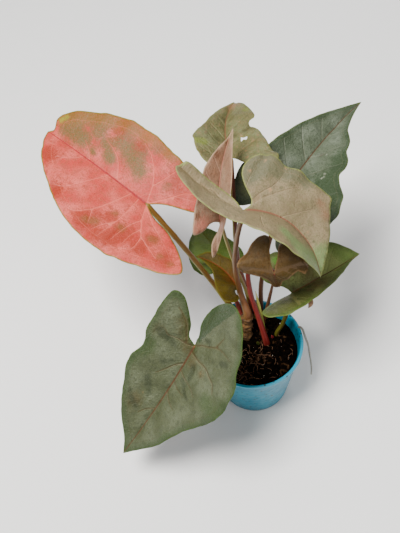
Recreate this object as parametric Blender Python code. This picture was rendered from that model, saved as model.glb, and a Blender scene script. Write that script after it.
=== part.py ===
"""A young pink syngonium in a small blue nursery pot.

Run it with: blender --background --python part.py
Units are metres, +Z is up, and the origin is the centre of the pot's underside.
The plant tables below are in millimetres and degrees.
"""
import math

import bmesh
import bpy
import numpy as np
from mathutils import Vector
from mathutils.geometry import delaunay_2d_cdt

MM = 0.001
GAP = 0.3            # clearance between two pieces that touch, mm
SHARP_ANGLE = 50     # degrees, above which an edge is shaded sharp

# The pot, mm
POT_HEIGHT = 48.0
POT_LIP_R = 28.0
POT_TOP_R = 27.0     # outside of the wall, under the lip
POT_BASE_R = 19.5
POT_WALL = 0.8
POT_FLOOR = 1.4
LIP_HEIGHT = 1.6
POT_SIDES = 48
POT_COLOUR = (0.02, 0.30, 0.42)
DRAIN_COUNT = 4
DRAIN_R = 2.2
DRAIN_CIRCLE_R = 11.5
DRAIN_SIDES = 16

# The soil, mm
SOIL_TOP = 40.0
SOIL_ROUGHNESS = 0.5
SOIL_RINGS = 6
SOIL_BEVEL = 1.2     # the root ball's lower edge
SOIL_COLOUR = (0.03, 0.02, 0.015)
STEM_DEPTH = 6.0     # how far the stems reach down into the soil

# The blades, mm
BLADE_THICKNESS = 0.7
BLADE_STEP = 4.6     # spacing of the blades' points
INNER_SPACING = 0.62  # how near an inner point comes to the margin or midrib, in steps
PETIOLE_SIDES = 8
PETIOLE_STEP = 6.0
FLARE = 5            # how soon a petiole slims above its foot
SEAT_FORWARD = 1.4   # how far ahead of its joint a petiole ends under the blade
SEAT_APPROACH = 3.5  # length of a petiole's last, straight stretch

# Each blade lies in its own plane, with the petiole's joint at (0, 0), the midrib along +Y to
# (0, length) and the two halves' margins listed from the tip back to the joint. "at" is the
# joint's place, heading is the midrib's compass angle from +X, pitch lifts the tip and roll
# lifts the left half. bow pushes the midrib's middle to the right. fold raises each half beside
# the midrib and curl bends it back down, droop bends the tip down, and lift raises the basal
# lobes. Pairs are (left, right).
BLADES = {
    "pink": dict(
        at=(-46.7, 55.2, 112), heading=134, pitch=14, roll=-10, length=75, bow=0,
        droop=14, fold=(18, 18), curl=(6, 4), lift=(12, 12), wave=0.8, waves=5,
        left=[(-4, 73), (-9, 69), (-18, 60), (-32, 36), (-38, 17), (-38, -4), (-33, -20),
              (-28, -34), (-21, -43), (-13, -35), (-6, -20), (-4, -9)],
        right=[(2.6, 72.2), (5.5, 73), (9, 74.2), (14, 71.5), (20, 63.5), (30, 40), (32, 20),
               (30, 3), (28, -13), (26, -29), (20, -37), (13, -28), (6, -9)],
        colour=(0.62, 0.25, 0.2)),
    "front": dict(
        at=(0.4, 15.4, 146), heading=-31, pitch=-13, roll=-12, length=51, bow=-9,
        droop=45, fold=(34, 18), curl=(6, 2), lift=(30, 20), wave=0.6, waves=5,
        left=[(-8.4, 46.3), (-16.2, 41.6), (-22.5, 36.8), (-28.5, 31.9), (-32.8, 29.6),
              (-31.7, 22.3), (-32.4, 14.3), (-30.3, 6.5), (-30.3, -1.4), (-24, -10.7), (-15, -10),
              (-6, 1)],
        right=[(7, 40), (12.5, 27), (13.5, 14), (14, 4), (15, -8), (14, -21), (7, -37), (-1, -35),
               (-3, -20), (-3, -8)],
        colour=(0.34, 0.29, 0.21)),
    "young": dict(
        at=(-10.3, 27.2, 124), heading=72, pitch=34, roll=-5, length=48, bow=-3,
        droop=6, fold=(58, 58), curl=(0, 6), lift=(0, 0), wave=0.4, waves=3,
        left=[(-2, 43), (-7, 37), (-12, 30), (-15, 23), (-17, 10), (-18, 0), (-17, -8), (-11, -6),
              (-6, -1)],
        right=[(5, 41), (8, 35), (12, 26), (14, 18), (12, 9), (7, -2), (3, -10), (-2, -18),
               (-4, -11), (-1, -4)],
        colour=(0.42, 0.24, 0.19)),
    "top": dict(
        at=(0.4, 64.7, 128.6), heading=81, pitch=-5, roll=0, length=50.5, bow=-4,
        droop=9, fold=(37, 35), curl=(20, 34), lift=(28, 36), wave=0.8, waves=4,
        left=[(-2.5, 47), (-10.5, 34.5), (-18.5, 16.5), (-22.5, 7.5), (-21.5, 3), (-20, -3),
              (-15.5, -13), (-9, -15), (-4, -6)],
        right=[(1.5, 46.5), (4.5, 44), (9, 37), (13.5, 25.8), (11, 23), (10.5, 20.5),
               (12.5, 16.8), (17, 11), (21, 1), (26, -13), (17, -20), (10, -13), (4, -4)],
        colour=(0.3, 0.29, 0.19)),
    "right": dict(
        at=(28.4, 58.8, 103), heading=45, pitch=8, roll=0, length=74.5, bow=-2,
        droop=6, fold=(40, 22), curl=(0, 0), lift=(22, 0), wave=1, waves=5,
        left=[(-5, 65), (-13, 49), (-19, 34), (-23, 20), (-26, 4), (-28, -10), (-23, -26),
              (-14, -30), (-7, -16)],
        right=[(2.5, 63), (6.8, 51), (10, 47), (14.6, 41.8), (17.8, 33.6), (22.2, 28.8),
               (24.5, 23.2), (24.5, 17.2), (28, 12.9), (32.2, 8.9), (35.9, 4.9), (37.8, -0.7),
               (40.2, -8.1), (38, -18), (29, -35), (20, -35), (10, -20)],
        colour=(0.13, 0.16, 0.13)),
    "low_right": dict(
        at=(23, 8.3, 80), heading=25, pitch=-5, roll=-10, length=45, bow=0,
        droop=-8, fold=(33, 26), curl=(10, 18), lift=(30, 8), wave=0.6, waves=4,
        left=[(-5, 42), (-13, 36), (-19, 24), (-23, 10), (-24, -4), (-20, -14), (-11, -12),
              (-5, -3)],
        right=[(2, 38), (8, 27), (13, 13), (16, -3), (17, -14), (13, -23), (6, -23), (1, -13)],
        colour=(0.17, 0.2, 0.12)),
    "cupped": dict(
        at=(12.3, 1.2, 111.5), heading=-77, pitch=-72, roll=25, length=17, bow=0,
        droop=50, fold=(15, 15), curl=(14, 6), lift=(-53, -39), wave=0.5, waves=2,
        left=[(-2.2, 10), (-4, 5), (-6.5, 3.2), (-9, 0.6), (-12, -0.8), (-15.5, 0.5), (-17, -3),
              (-14.5, -8), (-11, -13), (-5.5, -19), (-3, -14), (-2.6, -9), (-1.4, -5)],
        right=[(2.2, 10), (3.2, 4.5), (6, 1.2), (11, -1), (16, -2), (17.2, -5), (16.5, -8),
               (12.5, -11.5), (9.5, -15.5), (7, -19.5), (3.5, -21), (1.2, -18), (1.3, -12),
               (1, -6)],
        colour=(0.24, 0.17, 0.11)),
    "back": dict(
        at=(-9.6, 56.6, 54), heading=114, pitch=-6, roll=-10, length=34, bow=0,
        droop=4, fold=(21, 20), curl=(0, 4), lift=(20, 8), wave=0.4, waves=4,
        left=[(-5, 27), (-11, 20), (-17, 10), (-20, 0), (-19, -9), (-15, -12), (-8, -10),
              (-3, -3)],
        right=[(3, 26), (6, 19), (9, 10), (11, 0), (11, -9), (8, -14), (3, -8)],
        colour=(0.12, 0.22, 0.12)),
    "small_left": dict(
        at=(-3.9, 24.1, 65.4), heading=129, pitch=0, roll=0, length=33.4, bow=4,
        droop=-4, fold=(35, 25), curl=(8, 4), lift=(16, 20), wave=0.4, waves=4,
        left=[(0, 29), (-1.5, 24), (-3.5, 18), (-9, 11.5), (-14.5, 4), (-16, -2), (-14.5, -6.5),
              (-11, -8), (-7, -6.4), (-5, -4), (-4.6, -1.8), (-2.4, 0.6)],
        right=[(5, 31), (7.5, 28.5), (10.5, 20.5), (11.5, 15), (8, 9), (3, 4)],
        colour=(0.2, 0.16, 0.07)),
    "low_left": dict(
        at=(-31.4, -12.9, 76), heading=-146, pitch=-50, roll=-2, length=76, bow=0,
        droop=-18, fold=(18, 30), curl=(6, -8), lift=(10, 10), wave=0.8, waves=5,
        left=[(-6, 68.5), (-15, 57), (-19.5, 47.5), (-23.5, 39), (-30.5, 28.5), (-36.5, 17.5),
              (-38, 6), (-37, -3), (-33.5, -11), (-29, -24), (-23.5, -32), (-17.5, -36.5),
              (-12, -36.5), (-5, -32), (2, -23), (3.6, -13), (1.2, -6)],
        right=[(5, 68), (13.5, 58), (16.5, 53), (21, 44), (24.5, 34.5), (26.5, 29), (27, 23.5),
               (25.5, 19), (24.2, 15), (24.6, 11), (26.5, 1.5), (26, -8), (25, -18), (22, -25.5),
               (16.5, -24.5), (12, -18.5), (6.8, -10), (5, -3.5)],
        colour=(0.2, 0.25, 0.18)),
}

# Each petiole rises from its base in the soil through its waypoints to the joint of its blade.
# Places are in mm, and radii are at the base and at the blade.
PETIOLES = {
    "pink": dict(base=(-7.5, 15.0), via=[(-9.0, 23.0, 50), (-16.5, 33.0, 60), (-25.5, 39.5, 77),
                                           (-35.5, 45.5, 96)],
                 radii=(2.1, 1.5), colour=(0.20, 0.12, 0.04)),
    "young": dict(base=(5.0, 20.6), via=[(4.5, 21.4, 53), (1.5, 21.8, 62), (-1.8, 24.5, 74),
                                         (-5.6, 28.4, 90), (-8.6, 30.5, 109)],
                  radii=(1.4, 0.9), colour=(0.30, 0.24, 0.07)),
    "top": dict(base=(1.0, 20.2), via=[(1.5, 24.5, 56), (-1.8, 32.0, 74), (-2.8, 33.0, 92),
                                        (-2.4, 37.0, 110), (-0.9, 52.0, 121)],
                radii=(1.9, 1.3), colour=(0.32, 0.06, 0.05)),
    "right": dict(base=(7.6, 17.8), via=[(7.9, 21.2, 51), (10.0, 29.5, 66), (17.8, 44.0, 86)],
                  radii=(1.4, 1.3), colour=(0.18, 0.09, 0.05)),
    "low_right": dict(base=(14.9, 7.5), via=[(18.0, 8.2, 49), (20.8, 9.2, 60)],
                      radii=(1.4, 1.2), colour=(0.20, 0.16, 0.05)),
    "cupped": dict(base=(7.9, 3.5), via=[(4.6, 13.2, 56), (2.3, 18.6, 67), (1.6, 22.0, 80),
                                         (2.6, 22.5, 94), (7.0, 17.0, 103)],
                   radii=(1.9, 1.3), colour=(0.32, 0.06, 0.05)),
    "back": dict(base=(-3.0, 16.0), via=[(-4.8, 24.0, 49.6), (-6.5, 30.0, 51.5), (-9.0, 42.0, 54)],
                 radii=(1.6, 1.2), colour=(0.30, 0.08, 0.06)),
    "small_left": dict(base=(0.4, 14.8), via=[(0.2, 17, 47), (-1.6, 20.6, 53), (-3.4, 23.2, 60)],
                       radii=(1.5, 1.1), colour=(0.30, 0.12, 0.05)),
    "low_left": dict(base=(-9.5, 4.0), via=[(-13.0, -1.0, 54), (-24.0, -9.0, 70)],
                     radii=(2.0, 1.4), colour=(0.34, 0.10, 0.08)),
}

# The main stem, mm: it leans a little, and the front leaf's petiole goes on from its top.
STEM_BASE = (-2.9, 7.8)
STEM_TOP = (-1.2, 12.8, 55.0)
STEM_R = 3.1
STEM_KNOB = 0.45
STEM_KNOBS = 4
STEM_RINGS = 17
STEM_SIDES = 12
STEM_COLOUR = (0.20, 0.11, 0.06)
FRONT_PETIOLE = dict(via=[(-3.0, 20.0, 66), (-5.0, 22.0, 90), (-3.8, 21.0, 112), (-1.3, 19.4, 130)],
                     radii=(2.3, 1.3), colour=(0.22, 0.13, 0.10))

# Small shoots at the crown, mm: foot, tip and radius.
SHOOT_STEP = 3.0
SHOOT_END = 0.25      # a shoot's end, as a share of its radius
SHOOT_TAPER = 3.0
SHOOTS = {
    "red_bud": dict(base=(12.0, 5.6), top=(11.3, 5.0, 44.0), radius=1.0, colour=(0.42, 0.04, 0.06)),
    "green_sprout": dict(base=(3.4, 2.6), top=(2.6, 1.0, 46.0), radius=0.9,
                         colour=(0.20, 0.26, 0.05)),
    "new_spear": dict(base=(8.0, 14.8), top=(16.4, 23.4, 77.0), radius=1.0,
                      colour=(0.20, 0.10, 0.07)),
    "yellow_shoot": dict(base=(8.0, 11.2), top=(5.1, 20.4, 67.8), radius=1.0,
                         colour=(0.36, 0.36, 0.05)),
}


def clear_scene():
    """Remove what the file opened with."""
    for thing in list(bpy.data.objects):
        bpy.data.objects.remove(thing, do_unlink=True)


def material(name, colour, roughness):
    """A plain Principled material."""
    made = bpy.data.materials.new(name)
    made.use_nodes = True
    shader = made.node_tree.nodes["Principled BSDF"]
    shader.inputs["Base Color"].default_value = (*colour, 1.0)
    shader.inputs["Roughness"].default_value = roughness
    shader.inputs["Metallic"].default_value = 0.0
    return made


def add_object(name, points_mm, faces, colour, roughness=0.5, smooth=True):
    """Make one object from points in millimetres, with its faces turned outwards."""
    mesh = bpy.data.meshes.new(name)
    mesh.from_pydata([tuple(MM * value for value in point) for point in points_mm], [], faces)
    form = bmesh.new()
    form.from_mesh(mesh)
    bmesh.ops.recalc_face_normals(form, faces=form.faces)
    form.to_mesh(mesh)
    form.free()
    if smooth:
        mesh.shade_smooth()
        mesh.set_sharp_from_angle(angle=math.radians(SHARP_ANGLE))
    thing = bpy.data.objects.new(name, mesh)
    thing.data.materials.append(material(name, colour, roughness))
    bpy.context.collection.objects.link(thing)
    return thing


def turned(name, profile, sides, colour, roughness=0.5):
    """Turn a closed profile of (radius, height) points round Z; radius 0 makes one point."""
    points = []
    rings = []
    for radius, height in profile:
        if radius == 0:
            rings.append([len(points)] * sides)
            points.append((0, 0, height))
            continue
        rings.append([len(points) + side for side in range(sides)])
        for side in range(sides):
            angle = math.tau * side / sides
            points.append((radius * math.cos(angle), radius * math.sin(angle), height))
    faces = []
    for low, high in zip(rings, rings[1:]):
        for side in range(sides):
            after = (side + 1) % sides
            corners = [low[side], low[after], high[after], high[side]]
            faces.append(list(dict.fromkeys(corners)))
    return add_object(name, points, faces, colour, roughness)


def cut(thing, cutters):
    """Subtract the cutters from a piece and remove them."""
    for cutter in cutters:
        cutter.hide_render = True
        cutter.display_type = "WIRE"
        boolean = thing.modifiers.new("cut", "BOOLEAN")
        boolean.operation = "DIFFERENCE"
        boolean.solver = "EXACT"
        boolean.object = cutter
    graph = bpy.context.evaluated_depsgraph_get()
    mesh = bpy.data.meshes.new_from_object(thing.evaluated_get(graph))
    thing.modifiers.clear()
    thing.data = mesh
    for cutter in cutters:
        bpy.data.objects.remove(cutter, do_unlink=True)


def smooth_path(points, step):
    """Points about one step apart along a smooth curve through the given points."""
    points = [Vector(point) for point in points]
    ahead = [2 * points[0] - points[1]] + points + [2 * points[-1] - points[-2]]
    path = []
    for before, start, end, after in zip(ahead, ahead[1:], ahead[2:], ahead[3:]):
        count = max(1, round((end - start).length / step))
        for index in range(count):
            t = index / count
            path.append(0.5 * (2 * start + (end - before) * t
                               + (2 * before - 5 * start + 4 * end - after) * t ** 2
                               + (3 * start - before - 3 * end + after) * t ** 3))
    return path + [points[-1]]


def tube(name, path, radii, sides, colour=SOIL_COLOUR, roughness=0.5):
    """A round closed tube along a path, with one radius for each point."""
    tangents = [(path[min(i + 1, len(path) - 1)] - path[max(i - 1, 0)]).normalized()
                for i in range(len(path))]
    across = tangents[0].orthogonal().normalized()
    points = []
    for centre, tangent, radius in zip(path, tangents, radii):
        across = (across - tangent * across.dot(tangent)).normalized()
        beside = tangent.cross(across)
        for side in range(sides):
            angle = math.tau * side / sides
            points.append(centre + radius * (across * math.cos(angle) + beside * math.sin(angle)))
    faces = [list(range(sides)), list(range(len(points) - sides, len(points)))]
    for ring in range(len(path) - 1):
        for side in range(sides):
            after = (side + 1) % sides
            faces.append([ring * sides + side, ring * sides + after,
                          (ring + 1) * sides + after, (ring + 1) * sides + side])
    return add_object(name, points, faces, colour, roughness)


def arc(start_angle, turn, distance):
    """Where a curve of constant turn has got to: (along, up) after a distance."""
    turn = np.where(np.abs(turn) < 1e-6, 1e-6, turn)
    end_angle = start_angle + turn * distance
    along = (np.sin(end_angle) - np.sin(start_angle)) / turn
    up = (np.cos(start_angle) - np.cos(end_angle)) / turn
    return along, up


def blade_frame(leaf):
    """The blade's own axes: across, along the midrib, and out of its upper face."""
    heading, pitch, roll = (math.radians(leaf[key]) for key in ("heading", "pitch", "roll"))
    along = np.array([math.cos(pitch) * math.cos(heading), math.cos(pitch) * math.sin(heading),
                      math.sin(pitch)])
    level = np.array([math.sin(heading), -math.cos(heading), 0])
    upright = np.cross(level, along)
    across = math.cos(roll) * level - math.sin(roll) * upright
    return across, along, np.cross(across, along)


def rib_offset(leaf, y):
    """How far the bowed midrib lies to the right of the straight line, at distances along it."""
    u = np.clip(np.asarray(y) / leaf["length"], 0, 1)
    return leaf["bow"] * 4 * u * (1 - u)


def blade_point(leaf, flat):
    """Bend points of the flat blade into their places, in mm."""
    flat = np.asarray(flat, dtype=float)
    x, y = flat[:, 0], flat[:, 1]
    rib = rib_offset(leaf, y)
    side = (x >= rib).astype(int)
    fold, curl, lift = (np.radians(leaf[key])[side] for key in ("fold", "curl", "lift"))
    half_width = 0.5 * leaf["length"]
    distance = np.abs(x - rib)
    out, rise = arc(fold, -curl / half_width, distance)
    reach = distance / half_width
    rise = rise + leaf["wave"] * reach ** 2 * np.sin(math.tau * leaf["waves"] * y / leaf["length"])
    turn = np.where(y >= 0, -math.radians(leaf["droop"]) / leaf["length"], lift / half_width)
    forward, up = arc(0.0, turn, y)
    slope = turn * y
    across, along, above = blade_frame(leaf)
    return (np.array(leaf["at"]) + np.outer(rib + np.sign(x - rib) * out, across)
            + np.outer(forward - rise * np.sin(slope), along)
            + np.outer(up + rise * np.cos(slope), above))


def margin(leaf, step):
    """The flat outline: from the tip down the right half to the joint and up the left half."""
    tip = (0.0, leaf["length"])
    right = smooth_path([(*point, 0.0) for point in [tip] + leaf["right"] + [(0.0, 0.0)]], step)
    left = smooth_path([(*point, 0.0) for point in [(0.0, 0.0)] + leaf["left"][::-1] + [tip]], step)
    return [point.to_2d() for point in right[:-1] + left[:-1]]


def inside(point, ring):
    """Whether a flat point lies inside a closed ring."""
    crossings = 0
    for a, b in zip(ring, ring[1:] + ring[:1]):
        if (a.y > point.y) != (b.y > point.y):
            if point.x < a.x + (point.y - a.y) / (b.y - a.y) * (b.x - a.x):
                crossings += 1
    return crossings % 2 == 1


def blade_triangles(leaf, step):
    """Triangulate the flat blade, with an edge along the midrib."""
    ring = margin(leaf, step)
    count = max(2, round(leaf["length"] / step))
    heights = [leaf["length"] * i / count for i in range(1, count)]
    rib = [Vector((float(rib_offset(leaf, y)), y)) for y in heights]
    joint = min(range(len(ring)), key=lambda i: ring[i].length)
    points = ring + rib
    row_height = step * math.sqrt(3) / 2
    reach = max(max(abs(p.x), abs(p.y)) for p in ring)
    rows = math.ceil(reach / row_height)
    for row in range(-rows, rows + 1):
        for column in range(-rows, rows + 1):
            point = Vector((step * (column + 0.5 * (row % 2)), row_height * row))
            near = min((point - other).length for other in ring + rib)
            if near > INNER_SPACING * step and inside(point, ring):
                points.append(point)
    first = len(ring)
    edges = [(i, (i + 1) % first) for i in range(first)]
    chain = [joint] + list(range(first, first + len(rib))) + [0]
    edges += list(zip(chain, chain[1:]))
    found = delaunay_2d_cdt(points, edges, [], 1, 1e-5)
    return [tuple(p) for p in found[0]], [tuple(face) for face in found[2]]


def add_blade(name, leaf):
    """One blade: its bent sheet, thickened both ways, with a closed margin."""
    flat, triangles = blade_triangles(leaf, BLADE_STEP)
    middle = blade_point(leaf, flat)
    normals = np.zeros_like(middle)
    edge_use = {}
    for index, (a, b, c) in enumerate(triangles):
        flat_turn = ((flat[b][0] - flat[a][0]) * (flat[c][1] - flat[a][1])
                     - (flat[b][1] - flat[a][1]) * (flat[c][0] - flat[a][0]))
        if flat_turn < 0:
            b, c = c, b
            triangles[index] = (a, b, c)
        normal = np.cross(middle[b] - middle[a], middle[c] - middle[a])
        for corner in (a, b, c):
            normals[corner] += normal
        for edge in ((a, b), (b, c), (c, a)):
            edge_use[edge] = edge_use.get(edge, 0) + 1
    normals /= np.linalg.norm(normals, axis=1)[:, None]
    half = 0.5 * BLADE_THICKNESS * normals
    count = len(flat)
    faces = list(triangles)
    faces += [(c + count, b + count, a + count) for a, b, c in triangles]
    for a, b in edge_use:
        if (b, a) not in edge_use:
            faces += [(b, a, a + count), (b, a + count, b + count)]
    points = np.vstack([middle + half, middle - half])
    return add_object(name, points.tolist(), faces, leaf["colour"], 0.45)


def joint_seat(leaf):
    """Where a petiole ends below its blade, and the way it points there."""
    places = [SEAT_FORWARD, SEAT_FORWARD + 0.5]
    near = blade_point(leaf, [(float(rib_offset(leaf, y)), y) for y in places])
    along = Vector(near[1] - near[0]).normalized()
    across = Vector(blade_frame(leaf)[0])
    above = across.cross(along).normalized()
    seat = Vector(near[0]) - above * (0.5 * BLADE_THICKNESS + GAP)
    return seat, above


def stem_path(foot, via, leaf):
    """A petiole's path from its first points to the seat under its blade."""
    seat, above = joint_seat(leaf)
    last = [seat - above * SEAT_APPROACH, seat]
    return smooth_path(foot + [Vector(point) for point in via] + last, PETIOLE_STEP)


def tapered(path, radii):
    """One radius for each point of a path: widest at the foot, and soon as slim as at its end."""
    last = len(path) - 1
    return [radii[1] + (radii[0] - radii[1]) * (1 - i / last) ** FLARE
            for i in range(len(path))]


def grown(path, radii):
    """The same stem, wider by the clearance and deeper at its foot, to cut its hole."""
    foot = path[0] + (path[0] - path[1]).normalized() * GAP
    return [foot] + path[1:], [radius + GAP for radius in radii]


def soil_height(x, y):
    """The rough top of the soil."""
    return SOIL_TOP + SOIL_ROUGHNESS * (math.sin(0.55 * x + 1.3) * math.cos(0.47 * y)
                                        + 0.6 * math.sin(1.1 * x - 0.8 * y))


def wall_radius(height):
    """The outside of the pot's wall at a height."""
    return POT_BASE_R + (POT_TOP_R - POT_BASE_R) * height / POT_HEIGHT


def add_pot():
    """A thin tapered shell with a rounded lip and drain holes in its floor."""
    inner_base = wall_radius(POT_FLOOR) - POT_WALL
    inner_top = POT_TOP_R - POT_WALL
    profile = [(0, 0), (POT_BASE_R - 1.0, 0), (POT_BASE_R, 0.8),
               (wall_radius(POT_HEIGHT - LIP_HEIGHT), POT_HEIGHT - LIP_HEIGHT),
               (POT_LIP_R - 0.2, POT_HEIGHT - LIP_HEIGHT + 0.1),
               (POT_LIP_R, POT_HEIGHT - 0.8), (POT_LIP_R - 0.3, POT_HEIGHT - 0.2),
               (POT_LIP_R - 0.8, POT_HEIGHT), (inner_top + 0.2, POT_HEIGHT - 0.1),
               (inner_top, POT_HEIGHT - 0.5), (inner_base + 0.1, POT_FLOOR + 0.7),
               (inner_base - 0.8, POT_FLOOR), (0, POT_FLOOR)]
    pot = turned("pot", profile, POT_SIDES, POT_COLOUR, 0.4)
    drains = []
    for index in range(DRAIN_COUNT):
        angle = math.tau * (index + 0.5) / DRAIN_COUNT
        x, y = DRAIN_CIRCLE_R * math.cos(angle), DRAIN_CIRCLE_R * math.sin(angle)
        ends = [Vector((x, y, -2.0)), Vector((x, y, POT_FLOOR + 2.0))]
        drains.append(tube("drain", ends, [DRAIN_R, DRAIN_R], DRAIN_SIDES))
    cut(pot, drains)


def add_soil(stems):
    """The root ball that fills the pot, rough on top, with a plain hole for each stem."""
    low = POT_FLOOR + GAP
    foot_r = wall_radius(POT_FLOOR) - POT_WALL - SOIL_BEVEL
    sides = POT_SIDES
    profile = [(foot_r, low), (foot_r + 0.75 * SOIL_BEVEL, low + SOIL_BEVEL)]
    points = []
    rings = []
    edge_r = wall_radius(SOIL_TOP) - POT_WALL - GAP - 0.2
    for radius, height in profile:
        rings.append(len(points))
        points += [(radius * math.cos(math.tau * side / sides),
                    radius * math.sin(math.tau * side / sides), height) for side in range(sides)]
    for ring in range(SOIL_RINGS, 0, -1):
        radius = edge_r * ring / SOIL_RINGS
        rings.append(len(points))
        for side in range(sides):
            x = radius * math.cos(math.tau * side / sides)
            y = radius * math.sin(math.tau * side / sides)
            points.append((x, y, soil_height(x, y)))
    bottom, top = len(points), len(points) + 1
    points += [(0, 0, low), (0, 0, soil_height(0, 0))]
    faces = []
    for side in range(sides):
        after = (side + 1) % sides
        faces.append((bottom, rings[0] + after, rings[0] + side))
        faces.append((top, rings[-1] + side, rings[-1] + after))
        for a, b in zip(rings, rings[1:]):
            faces.append((a + side, a + after, b + after))
            faces.append((a + side, b + after, b + side))
    soil = add_object("soil", points, faces, SOIL_COLOUR, 0.95)
    holes = [tube("hole", *grown(path, radii), stem_sides) for path, radii, stem_sides in stems]
    cut(soil, holes)


def add_stems():
    """The main stem, the petioles and the shoots, each in its own piece."""
    foot = SOIL_TOP - STEM_DEPTH
    stems = []
    ends = [Vector((*STEM_BASE, foot)), Vector(STEM_TOP)]
    path = [ends[0].lerp(ends[1], i / (STEM_RINGS - 1)) for i in range(STEM_RINGS)]
    radii = [STEM_R + STEM_KNOB * math.cos(math.tau * STEM_KNOBS * i / (STEM_RINGS - 1))
             for i in range(STEM_RINGS)]
    tube("main_stem", path, radii, STEM_SIDES, STEM_COLOUR, 0.7)
    stems.append((path, radii, STEM_SIDES))

    up = (ends[1] - ends[0]).normalized()
    front = FRONT_PETIOLE
    foot_points = [ends[1] + up * GAP, ends[1] + up * SEAT_APPROACH]
    path = stem_path(foot_points, front["via"], BLADES["front"])
    tube("petiole_front", path, tapered(path, front["radii"]), PETIOLE_SIDES, front["colour"])
    for name, petiole in PETIOLES.items():
        start = Vector((*petiole["base"], foot))
        level = Vector((*petiole["base"], SOIL_TOP + 2.0))
        path = stem_path([start, level], petiole["via"], BLADES[name])
        radii = tapered(path, petiole["radii"])
        tube("petiole_" + name, path, radii, PETIOLE_SIDES, petiole["colour"])
        stems.append((path, radii, PETIOLE_SIDES))
    for name, shoot in SHOOTS.items():
        start, end = Vector((*shoot["base"], foot)), Vector(shoot["top"])
        level = Vector((*shoot["base"], SOIL_TOP))
        path = smooth_path([start, level, end], SHOOT_STEP)
        radii = [shoot["radius"] * min(1.0, SHOOT_END + SHOOT_TAPER * (1 - i / (len(path) - 1)))
                 for i in range(len(path))]
        tube(name, path, radii, PETIOLE_SIDES, shoot["colour"])
        stems.append((path, radii, PETIOLE_SIDES))
    return stems


def main():
    clear_scene()
    add_pot()
    add_soil(add_stems())
    for name, leaf in BLADES.items():
        add_blade("blade_" + name, leaf)


main()
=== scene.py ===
"""A young pink syngonium in a small blue nursery pot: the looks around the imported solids.

Lengths in the tables are millimetres and angles are degrees; meshes are built in metres.
"""
import math
import random

import bpy
import numpy as np
from mathutils import Matrix, Vector
from mathutils.geometry import delaunay_2d_cdt
from mathutils.noise import noise as value_noise

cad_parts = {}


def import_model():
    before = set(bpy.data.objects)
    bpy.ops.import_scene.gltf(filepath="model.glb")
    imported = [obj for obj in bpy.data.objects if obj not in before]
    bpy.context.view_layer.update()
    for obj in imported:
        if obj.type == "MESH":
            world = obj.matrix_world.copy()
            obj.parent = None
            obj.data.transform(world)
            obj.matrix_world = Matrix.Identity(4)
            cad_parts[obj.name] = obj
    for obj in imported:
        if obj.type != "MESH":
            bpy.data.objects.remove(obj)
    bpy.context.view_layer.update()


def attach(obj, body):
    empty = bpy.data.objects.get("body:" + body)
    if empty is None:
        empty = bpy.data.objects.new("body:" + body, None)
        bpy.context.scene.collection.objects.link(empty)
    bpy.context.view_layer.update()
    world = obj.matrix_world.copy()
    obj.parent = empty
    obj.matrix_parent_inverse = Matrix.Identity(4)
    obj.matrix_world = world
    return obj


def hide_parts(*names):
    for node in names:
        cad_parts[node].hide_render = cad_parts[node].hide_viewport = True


MM = 0.001
TAU = math.tau

# The pot, as in the solids
POT_HEIGHT = 48.0
POT_LIP_R = 28.0
POT_TOP_R = 27.0
POT_BASE_R = 19.5
POT_WALL = 0.8
POT_FLOOR = 1.4
LIP_HEIGHT = 1.6
POT_SIDES = 160
DRAIN_COUNT = 4
DRAIN_R = 2.2
DRAIN_CIRCLE_R = 11.5
SOIL_TOP = 40.0
SOIL_SIDES = 120
SOIL_RINGS = 40
SOIL_RELIEF = ((0.16, 3, 0.7), (0.45, 7, 0.8), (1.3, 1, 0.4))  # each a scale, a seed, a height
CRUMB_REACH = POT_TOP_R - POT_WALL - 3.2  # how far out the crumbs lie, and the fibres
FIBRE_REACH = POT_TOP_R - POT_WALL - 4.0
FIBRE_COUNT = 90
STEM_DEPTH = 6.0
FOOT = SOIL_TOP - STEM_DEPTH              # where stem and petioles start

# The blades: their mesh, then their relief
BLADE_THICKNESS = 0.42
BLADE_STEP = 1.25        # between the mesh's points
RIB_ROWS = (-0.55, 0.55)  # rows of points beside the midrib
UNEVEN = 0.35            # how far the margin wanders in and out
UNEVEN_SCALE = 0.25
CALM = 6.0               # how far from the tip and the joint it does so fully
RIB_WIDTHS = (1.25, 0.4)  # the midrib's, at the joint and at the tip
VEIN_WIDTHS = (1.1, 0.4)  # a vein's, as shares of its own width, at its start and its end
QUILT = 0.35             # how far the skin swells between the veins
QUILT_REACH = 3.5        # how far from a vein it swells fully
QUILT_EASE = 4           # and how far from the margin
RUMPLE = 0.35            # how far it heaves here and there
RUMPLE_SCALE = 0.09
RUMPLE_EASE = 3
MARGIN_THIN = 0.35       # the margin's thickness, as a share
MARGIN_REACH = 1.5
# Height and reach of the midrib's groove above, and of its and the veins' ridges below
GROOVE = (0.12, 0.6)
RIB_RIDGE = (0.55, 0.7)
VEIN_RIDGE = (0.15, 0.6)

LEAF_GLOSS = 0.3
LEAF_ROUGHNESS = 0.45
FLARE = 5                # how soon a petiole slims above its foot
SHEATH = (0.18, 0.12)    # the swelling at its foot, and its share of the length
STALK_SIDES = 20

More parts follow.
